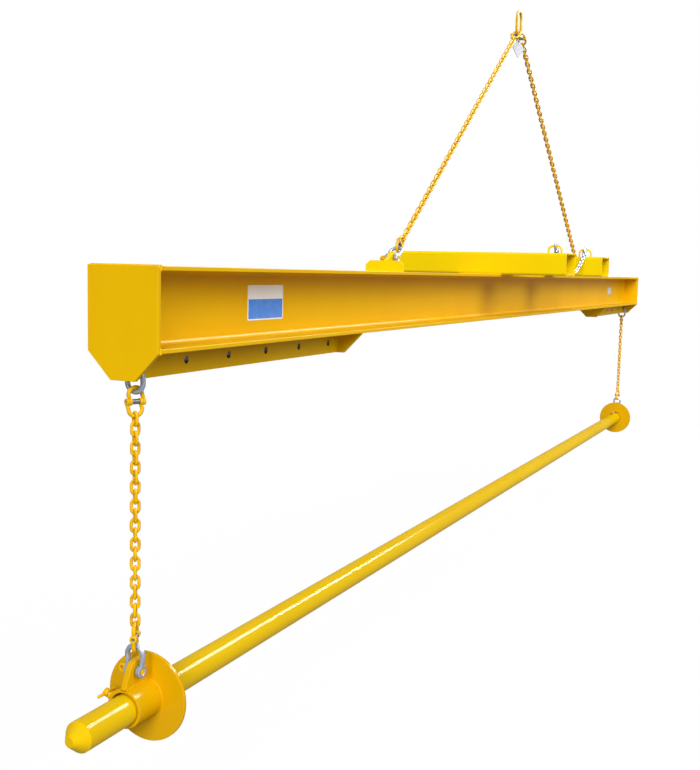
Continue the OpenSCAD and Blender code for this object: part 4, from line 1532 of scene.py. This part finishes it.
@dataclass
class TopLugs:
    """Lugs, stop plates and shackles that take the sling on the beam's top."""

    beam: Beam
    sling: Sling
    pin_height: float = 50.0
    thickness: float = 16.0
    radius: float = 25.0
    stop_reach: float = 62.0
    toe_reach: float = 60.0
    stop_width: float = 150.0
    stop_height: float = 40.0
    stop: float = 10.0
    stop_corner: float = 2.0
    stop_foot: float = 1.0
    chamfer: Point = (18.0, 15.0)
    hole: float = 20.0
    edge: float = 1.2
    weld: float = 3.2
    weld_inset: float = 2.0

    @property
    def toe(self) -> float:
        """Distance from the middle to the lugs' inner ends."""
        return self.sling.spread - self.toe_reach

    @property
    def heel(self) -> float:
        """Distance from the middle to the lugs' outer ends, at the stop plates."""
        return self.sling.spread + self.stop_reach

    def build(self) -> None:
        """Builds and dresses the lugs, stops, shackles and welds."""
        stops = Solid()
        foot, pin = self.beam.top, at(self.sling.spread, 0, self.sling.pin_z)
        for side in BOTH:
            lug = Solid()
            place = side.matrix @ at(0, 0, foot) @ STAND_XZ
            lug.slab(self.outline(), [self.bore()], self.thickness, self.edge, place)
            lug.piece(f"{side.label}_lifting_lug", PAINTED_LIGHT_YELLOW, "beam", f"{side.label}_top_lug")
            place = side.matrix @ at(self.heel + self.stop / 2, 0, foot) @ STAND_YZ
            stops.slab(self.stop_outline(), [], self.stop, self.edge, place)
        stops.piece("stop_plate_pair", PAINTED_LIGHT_YELLOW, "beam", "lug_stop_plates")
        turned = [side.matrix @ pin @ turn("Y", self.sling.angle - 90) for side in BOTH]
        LOAD_SHACKLE.build(turned, "top", "top_shackle", "beam", "s")
        self.build_welds()

    def build_welds(self) -> None:
        """Builds the beads that join the lugs and the stop plates to the beam and to each other."""
        welds = Solid()
        half, stop_half, foot = self.thickness / 2, self.stop_width / 2, self.beam.top
        head = self.stop_height - self.weld_inset
        for side in BOTH:
            for y in (half, -half):
                welds.bead([Vector((x, y, foot)) for x in (self.toe, self.heel)], self.weld, side.matrix)
                welds.bead([Vector((self.heel, y, foot + z)) for z in (0, head)], self.weld, side.matrix)
            for x in (self.heel, self.heel + self.stop):
                line = [Vector((x, y, foot)) for y in (-stop_half, stop_half)]
                welds.bead(line, self.weld, side.matrix)
        welds.piece("top_lug_welds", PAINTED_LIGHT_YELLOW, "beam")

    def bore(self) -> Loop:
        """Hole that the shackle's pin bears in, off the pin's middle along the leg.

        Returns:
            The hole's edge, along the beam and up from its top.
        """
        slack = self.hole / 2 - LOAD_SHACKLE.pin / 2 - SEAT_GAP
        slope = math.radians(self.sling.angle)
        middle = (self.sling.spread + slack * math.cos(slope), self.pin_height - slack * math.sin(slope))
        return circle(middle, self.hole / 2)

    def outline(self) -> Loop:
        """Side of a lug: round over its hole, sloping to the stop and down to its toe.

        Returns:
            The outline, along the beam and up from its top.
        """
        x, h, r = self.sling.spread, self.pin_height, self.radius
        rise = h - self.stop_height
        lean = math.acos(r / math.hypot(self.stop_reach, rise)) - math.atan2(rise, self.stop_reach)
        toe = math.pi + math.atan2(h, self.toe_reach) - math.acos(r / math.hypot(self.toe_reach, h))
        head = arc((x, h), r, math.degrees(lean), math.degrees(toe), steps=20)
        return [(self.heel, 0.0), (self.heel, self.stop_height), *head, (self.toe, 0.0)]

    def stop_outline(self) -> Loop:
        """Face of a stop plate with its clipped corners.

        Returns:
            The outline, across the beam and up from its top.
        """
        half, high = self.stop_width / 2, self.stop_height
        across, down = self.chamfer
        right = [
            (half, 0, self.stop_foot),
            (half, high - down, self.stop_corner),
            (half - across, high, self.stop_corner),
        ]
        return soft_corners(right + [(-x, y, r) for x, y, r in reversed(right)])


@dataclass
class SafetyChain:
    """Light chain that hangs between the pockets' eyes from two small shackles."""

    pockets: ForkPockets
    wire: float = 6.0
    inner_width: float = 9.0
    weld_swell: float = 0.3
    links: int = 35
    slope: float = 39.0
    body: str = "safety_chain"

    @property
    def pin(self) -> Point:
        """Place of the right small shackle's pin.

        Returns:
            Its X and its Z.
        """
        seat = SMALL_SHACKLE.reach - self.pockets.eye_rod / 2 - SEAT_GAP
        lean = math.radians(self.slope)
        return self.pockets.eye_x - seat * math.cos(lean), self.pockets.eye_z - seat * math.sin(lean)

    def build(self) -> None:
        """Builds and dresses the chain and its shackles."""
        pin_x, pin_z = self.pin
        lean = math.radians(self.slope)
        curve = pin_x / math.asinh(math.tan(lean))
        half = curve * math.tan(lean)
        low = pin_z - curve * (1 / math.cos(lean) - 1)
        seat = SMALL_SHACKLE.pin / 2 + SEAT_GAP
        inner = (2 * half + 2 * seat + (self.links - 1) * SEAT_GAP) / self.links
        link = Link(self.wire, inner, self.inner_width, self.weld_swell)
        middle = self.links // 2
        runs = {Side.LEFT: range(middle), Side.RIGHT: range(middle, self.links)}
        for side, numbers in runs.items():
            chain = Solid()
            for k in numbers:
                s = -half + inner / 2 - seat + k * (inner - SEAT_GAP)
                x, z = curve * math.asinh(s / curve), low + math.hypot(curve, s) - curve
                place = at(x, self.pockets.eye_y, z) @ turn("Y", 90 - math.degrees(math.atan(s / curve)))
                link.draw(chain, place @ turn("Z", 0 if k % 2 else 90))
            chain.piece(f"{side.label}_light_chain", ZINC, self.body, f"{side.label}_safety_chain")
        pin, turned = at(pin_x, self.pockets.eye_y, pin_z), turn("Y", 90 - self.slope) @ turn("Z", 90)
        places = [side.matrix @ pin @ turned for side in BOTH]
        SMALL_SHACKLE.build(places, "small", "safety_shackle", self.body, "s")


@dataclass
class HangingGear:
    """One end's shackles, chain and couplers, and the collar with its clamp screw."""

    side: Side
    beam: Beam
    links: int = 22
    coupler_turn: float = 25.0
    bore: float = 82.0
    sleeve: float = 98.0
    sleeve_length: float = 90.0
    disc: float = 230.0
    disc_thickness: float = 10.0
    hole_height: float = 82.0
    lug_radius: float = 30.0
    lug_foot: float = 6.0
    lug_root: float = 3.0
    lug_thickness: float = 16.0
    lug_hole: float = 20.0
    outer_touch: float = 20.0
    bar: float = 76.1
    clamp_angle: float = 20.0
    clamp_inset: float = 18.0
    clamp: float = 12.0
    thread_pitch: float = 1.75
    thread_depth: float = 0.55
    thread_lead: float = 1.8
    thread_end: float = 2.0
    nut_height: float = 10.0
    nut_width: float = 22.0
    nut_sunk: float = 1.0
    nut_corner: float = 0.6
    nut_edge: float = 1.0
    nut_fit: float = 0.1
    grip: float = 3.0
    hub: float = 20.0
    hub_length: float = 14.0
    hub_edge: float = 2.0
    tommy: float = 8.0
    tommy_length: float = 62.0
    tommy_round: float = 0.98
    edge: float = 1.5
    weld: float = 3.2
    weld_inset: float = 3.0

    @property
    def slack(self) -> float:
        """Distance of a pin's axis from the axis of the hole that it bears in."""
        return self.lug_hole / 2 - LOAD_SHACKLE.pin / 2 - SEAT_GAP

    @property
    def upper_z(self) -> float:
        """Height of the upper shackle's pin."""
        return self.beam.under - self.beam.hole_drop - self.slack

    @property
    def lower_z(self) -> float:
        """Height of the lower shackle's pin."""
        return self.upper_z - 2 * SHACKLE_SEAT - 2 * COUPLER.length - chain_span(self.links)

    @property
    def collar_z(self) -> float:
        """Height of the collar's axis."""
        return self.lower_z - self.slack - self.hole_height

    @property
    def bar_drop(self) -> float:
        """Distance of the bar's axis below the collar's, as it lies in the bore."""
        return (self.bore - self.bar) / 2 - SEAT_GAP

    @property
    def clamp_tip(self) -> float:
        """Distance from the collar's axis to the clamp screw's tip.

        Returns:
            The distance, which leaves the tip just clear of the bar.
        """
        lean = math.radians(self.clamp_angle)
        reach = math.sqrt((self.bar / 2) ** 2 - (self.bar_drop * math.cos(lean)) ** 2)
        return reach - self.bar_drop * math.sin(lean) + SEAT_GAP

    def name(self, ending: str) -> str:
        """Name of one of this side's nodes, bodies or pieces."""
        return f"{self.side.label}_{ending}"

    def down(self, distance: float) -> Matrix:
        """Frame on the chain's line, at a distance below the upper shackle's seat."""
        return self.side.matrix @ at(self.beam.hang_x, 0, self.upper_z - SHACKLE_SEAT - distance)

    def build(self) -> None:
        """Builds and dresses this end's gear."""
        x = self.beam.hang_x
        places = {
            "upper": self.side.matrix @ at(x, 0, self.upper_z) @ turn("Z", 180) @ turn("X", 180),
            "lower": self.side.matrix @ at(x, 0, self.lower_z),
        }
        for level, place in places.items():
            shackle = self.name(f"{level}_shackle")
            LOAD_SHACKLE.build([place], self.name(level), shackle, shackle)
        self.build_chain()
        self.build_collar()
        self.build_clamp()

    def build_chain(self) -> None:
        """Builds the twisted chain and its two couplers."""
        twist = 90 + (90 - 2 * self.coupler_turn) / (self.links + 1)
        body = self.name("chain")
        chain = Solid()
        chain_row(chain, self.links, twist, self.down(COUPLER.length) @ turn("Z", self.coupler_turn))
        chain.piece(self.name("drop_links"), CHAIN, body, self.name("drop_chain"))
        upper = self.down(COUPLER.length / 2) @ turn("Z", self.coupler_turn)
        lower = self.down(1.5 * COUPLER.length + chain_span(self.links))
        lower = lower @ turn("Z", self.coupler_turn + (self.links + 1) * twist)
        COUPLER.build((upper, lower), self.side.label, body)

    def build_collar(self) -> None:
        """Builds the sleeve, the disc, the lug and their welds."""
        body = self.name("collar")
        middle = self.side.matrix @ at(self.beam.hang_x, 0, self.collar_z)
        half, back = self.sleeve_length / 2, self.lug_thickness / 2
        inner, outer, top = self.bore / 2, self.sleeve / 2, self.hole_height + self.lug_radius
        sleeve = Solid()
        tube = ring_profile(inner, outer, -half, half, self.edge)
        sleeve.lathe(tube, middle @ ALONG_X, segments=96)
        sleeve.piece(self.name("sleeve"), PAINTED_SHADE_YELLOW, body, self.name("collar_sleeve"))
        disc = Solid()
        rim = ring_profile(inner, self.disc / 2, -half - self.disc_thickness, -half, self.edge)
        disc.lathe(rim, middle @ ALONG_X, segments=128)
        disc.piece(self.name("stop_disc"), PAINTED_SHADE_YELLOW, body, self.name("collar_disc"))
        head, root = (0.0, self.hole_height), outer - self.lug_root
        outline = [(-half, root), (half, root), (half, outer + self.lug_foot)]
        outline += arc(head, self.lug_radius, self.outer_touch, 90, steps=16)
        outline.append((-half, top))
        lug = Solid()
        hole = circle(head, self.lug_hole / 2)
        lug.slab(outline, [hole], self.lug_thickness, self.edge, middle @ STAND_XZ)
        lug.piece(self.name("hanger_lug"), PAINTED_SHADE_YELLOW, body, self.name("collar_lug"))
        welds = Solid()
        ring = [Vector((-half, y, z)) for y, z in circle((0, 0), outer, steps=90)]
        welds.bead(ring, self.weld, middle, closed=True)
        for y in (back, -back):
            welds.bead([Vector((x, y, outer)) for x in (-half, half)], self.weld, middle)
            welds.bead([Vector((-half, y, z)) for z in (outer, top - self.weld_inset)], self.weld, middle)
        welds.piece(self.name("collar_welds"), PAINTED_SHADE_YELLOW, body)

    def build_clamp(self) -> None:
        """Builds the nut, the threaded screw and the T-handle."""
        x = self.beam.hang_x + self.sleeve_length / 2 - self.clamp_inset
        place = self.side.matrix @ at(x, 0, self.collar_z) @ turn("X", self.clamp_angle - 90)
        face, radius = self.sleeve / 2, self.clamp / 2
        top = face + self.nut_height
        hub_z = top + self.grip
        nut = Solid()
        corners = [(*point, self.nut_corner) for point in circle((0, 0), self.nut_width / 2, steps=6)]
        hole = circle((0, 0), radius + self.nut_fit, steps=32)
        height = self.nut_height + self.nut_sunk
        middle = place @ at(0, 0, face - self.nut_sunk + height / 2)
        nut.slab(soft_corners(corners, steps=3), [hole], height, self.nut_edge, middle)
        nut.piece(self.name("welded_nut"), YELLOW, self.name("collar"), self.name("clamp_nut"))
        screw = Solid()
        profile = [(0.0, self.clamp_tip), (radius - self.thread_lead, self.clamp_tip)]
        for k in range(math.floor((hub_z - self.clamp_tip - self.thread_end) / self.thread_pitch)):
            crest = self.clamp_tip + self.thread_lead + k * self.thread_pitch
            profile += [(radius, crest), (radius - self.thread_depth, crest + self.thread_pitch / 2)]
        screw.lathe([*profile, (radius, hub_z), (0.0, hub_z)], place, segments=32)
        screw.piece(self.name("threaded_screw"), STEEL, self.name("clamp_screw"), self.name("clamp_screw"))
        handle = Solid()
        hub = rod_profile(self.hub / 2, hub_z, hub_z + self.hub_length, self.hub_edge)
        handle.lathe(hub, place, segments=40)
        half, ball = self.tommy_length / 2, self.tommy / 2
        cross = place @ at(0, 0, hub_z + self.hub_length / 2) @ ALONG_X
        tommy = rod_profile(ball, -half - ball, half + ball, self.tommy_round * ball)
        handle.lathe(tommy, cross, segments=24)
        handle.piece(self.name("tee_handle"), YELLOW, self.name("clamp_handle"), self.name("clamp_handle"))


@dataclass
class ReelBar:
    """The round bar through both collars, with tapered noses."""

    gear: HangingGear
    wall: float = 5.0
    overhang: float = 190.0
    nose: float = 33.0
    tip: float = 24.0
    plug: float = 30.0
    fit: float = 0.1
    edge: float = 0.6
    seam: tuple[Point, ...] = ((-1.0, 0.0), (0.0, 0.8), (-0.5, 1.6))
    tip_round: tuple[Point, ...] = ((0.6, -0.6), (0.0, -0.15), (-1.0, 0.0))

    def build(self) -> None:
        """Builds and dresses the bar and its noses."""
        radius = self.gear.bar / 2
        half = self.gear.beam.end + self.overhang - self.nose
        z = self.gear.collar_z - self.gear.bar_drop
        bar = Solid()
        tube = ring_profile(radius - self.wall, radius, -half, half, self.edge)
        bar.lathe(tube, at(0, 0, z) @ ALONG_X, segments=128)
        bar.piece("round_bar", GLOSS, "reel_bar", "reel_bar")
        noses = Solid()
        inner = radius - self.wall - self.fit
        profile = [(0.0, -self.plug), (inner, -self.plug), (inner, 0.0)]
        profile += [(radius + out, along) for out, along in self.seam]
        profile += [(self.tip / 2 + out, self.nose + along) for out, along in self.tip_round]
        profile.append((0.0, self.nose))
        for side in BOTH:
            noses.lathe(profile, side.matrix @ at(half, 0, z) @ ALONG_X, segments=96)
        noses.piece("tapered_noses", GLOSS, "reel_bar", "bar_noses")


@dataclass(frozen=True)
class SunLamp:
    """A broad sun lamp.

    Its strength is the light on a face square to it, and its spread is an angle in degrees.
    """

    name: str
    towards: Triple
    strength: float
    spread: float
    glossy: bool = True

    def build(self) -> None:
        """Adds the lamp to the scene, in its direction from the object."""
        lamp = bpy.data.lights.new(self.name, "SUN")
        lamp.energy = self.strength
        lamp.angle = math.radians(self.spread)
        holder = bpy.data.objects.new(self.name, lamp)
        holder.rotation_euler = Vector(self.towards).to_track_quat("Z", "Y").to_euler()
        holder.visible_glossy = self.glossy
        bpy.context.scene.collection.objects.link(holder)


@dataclass(frozen=True)
class StripLamp:
    """A long lamp over the object that shows only in its gloss."""

    name: str
    place: Triple
    length: float
    width: float
    power: float
    aim: float

    def build(self) -> None:
        """Adds the lamp to the scene, along the beam and turned to the height that it aims at."""
        lamp = bpy.data.lights.new(self.name, "AREA")
        lamp.shape = "RECTANGLE"
        lamp.size = self.length
        lamp.size_y = self.width
        lamp.energy = self.power
        holder = bpy.data.objects.new(self.name, lamp)
        holder.location = self.place
        holder.rotation_euler.x = -math.atan2(self.place[1], self.place[2] - self.aim)
        holder.visible_diffuse = False
        holder.visible_camera = False
        bpy.context.scene.collection.objects.link(holder)


LAMPS = (
    SunLamp("key_light", (-0.86, -0.28, 0.42), strength=2.5, spread=28),
    SunLamp("fill_light", (-0.15, -0.82, 0.55), strength=1.9, spread=50),
    SunLamp("back_light", (0.5, 0.78, 0.38), strength=1.5, spread=60, glossy=False),
    StripLamp("strip_light", (3.0, -2.3, 1.9), length=10.0, width=1.9, power=3500, aim=-1.9),
)


@dataclass
class Studio:
    """Pale floor, soft light and the camera."""

    floor_z: float = -2.9
    floor_size: float = 60.0
    floor_seen: Colour = (0.9, 0.9, 0.9)
    floor_bounce: Colour = (0.12, 0.12, 0.12)
    floor_rough: float = 0.9
    floor_glow: float = 0.93
    backdrop: Colour = (1.0, 1.0, 1.0)
    sky: Colour = (0.93, 0.96, 1.0)
    sky_strength: float = 0.17
    focal_px: float = 1017.4
    image: tuple[int, int] = (700, 770)
    sensor: float = 36.0
    eye: Triple = (-4.9551, -1.5, -1.2645)
    yaw: float = 25.506
    pitch: float = -6.4
    roll: float = 1.403

    def build(self) -> None:
        """Builds the stage."""
        self.build_floor()
        self.build_light()
        self.build_camera()

    def build_floor(self) -> None:
        """Builds a pale floor that keeps the object's shadow."""
        solid = bmesh.new()
        bmesh.ops.create_grid(solid, x_segments=1, y_segments=1, size=self.floor_size / 2)
        data = bpy.data.meshes.new("floor")
        solid.to_mesh(data)
        solid.free()
        floor = bpy.data.objects.new("floor", data)
        floor.location.z = self.floor_z
        tree = ShaderTree("floor_finish")
        path = tree.add("ShaderNodeLightPath")
        seen = tree.out(path, "Is Camera Ray") | tree.out(path, "Is Glossy Ray")
        glow = tree.add("ShaderNodeEmission", None, {"Color": self.backdrop, "Strength": 1.0})
        tree.dress(
            Base_Color=tree.mix(seen, self.floor_bounce, self.floor_seen),
            Roughness=self.floor_rough,
        )
        shares = {0: seen * self.floor_glow, 1: tree.out(tree.shader), 2: tree.out(glow)}
        blend = tree.add("ShaderNodeMixShader", None, shares)
        tree.feed(tree.output.inputs["Surface"], tree.out(blend))
        data.materials.append(tree.material)
        bpy.context.scene.collection.objects.link(floor)

    def build_light(self) -> None:
        """Builds the lamps, and a white backdrop that lights the object only as a dim sky."""
        world = bpy.data.worlds.new("studio_sky")
        graph = NodeGraph(world)
        path = graph.add("ShaderNodeLightPath")
        seen = graph.out(path, "Is Camera Ray") | graph.out(path, "Is Glossy Ray")
        seen = seen | graph.out(path, "Is Transmission Ray")
        sky = graph.add("ShaderNodeBackground", None, {"Color": self.sky, "Strength": self.sky_strength})
        backdrop = graph.add("ShaderNodeBackground", None, {"Color": self.backdrop, "Strength": 1.0})
        shares = {0: seen, 1: graph.out(sky), 2: graph.out(backdrop)}
        blend = graph.add("ShaderNodeMixShader", None, shares)
        graph.add("ShaderNodeOutputWorld", None, {"Surface": graph.out(blend)})
        bpy.context.scene.world = world
        for lamp in LAMPS:
            lamp.build()

    def build_camera(self) -> None:
        """Builds the camera at the photograph's place and angle."""
        yaw, pitch, roll = (math.radians(a) for a in (self.yaw, self.pitch, self.roll))
        ahead = Vector((math.cos(yaw) * math.cos(pitch), math.sin(yaw) * math.cos(pitch), math.sin(pitch)))
        right = Vector((math.sin(yaw), -math.cos(yaw), 0))
        up = right.cross(ahead)
        across = right * math.cos(roll) + up * math.sin(roll)
        over = up * math.cos(roll) - right * math.sin(roll)
        data = bpy.data.cameras.new("camera")
        data.sensor_width = self.sensor
        data.lens = self.focal_px * self.sensor / max(self.image)
        camera = bpy.data.objects.new("camera", data)
        turned = Matrix((across, over, -ahead)).transposed().to_4x4()
        camera.matrix_world = Matrix.Translation(self.eye) @ turned
        bpy.context.scene.collection.objects.link(camera)
        bpy.context.scene.camera = camera


def main() -> None:
    """Builds every sub-assembly, then the stage."""
    logging.basicConfig(level=logging.INFO, format="%(name)s: %(message)s")
    bpy.context.scene.view_settings.view_transform = "Standard"
    sling = Sling()
    beam = Beam(top=sling.pin_z - TopLugs.pin_height)
    pockets = ForkPockets(beam)
    on_beam = (WebPlates(beam), pockets, TopLugs(beam, sling), SafetyChain(pockets))
    gear = [HangingGear(side, beam) for side in BOTH]
    for part in (sling, beam, *on_beam, *gear, ReelBar(gear[0])):
        part.build()
    Studio().build()


if __name__ == "__main__":
    main()
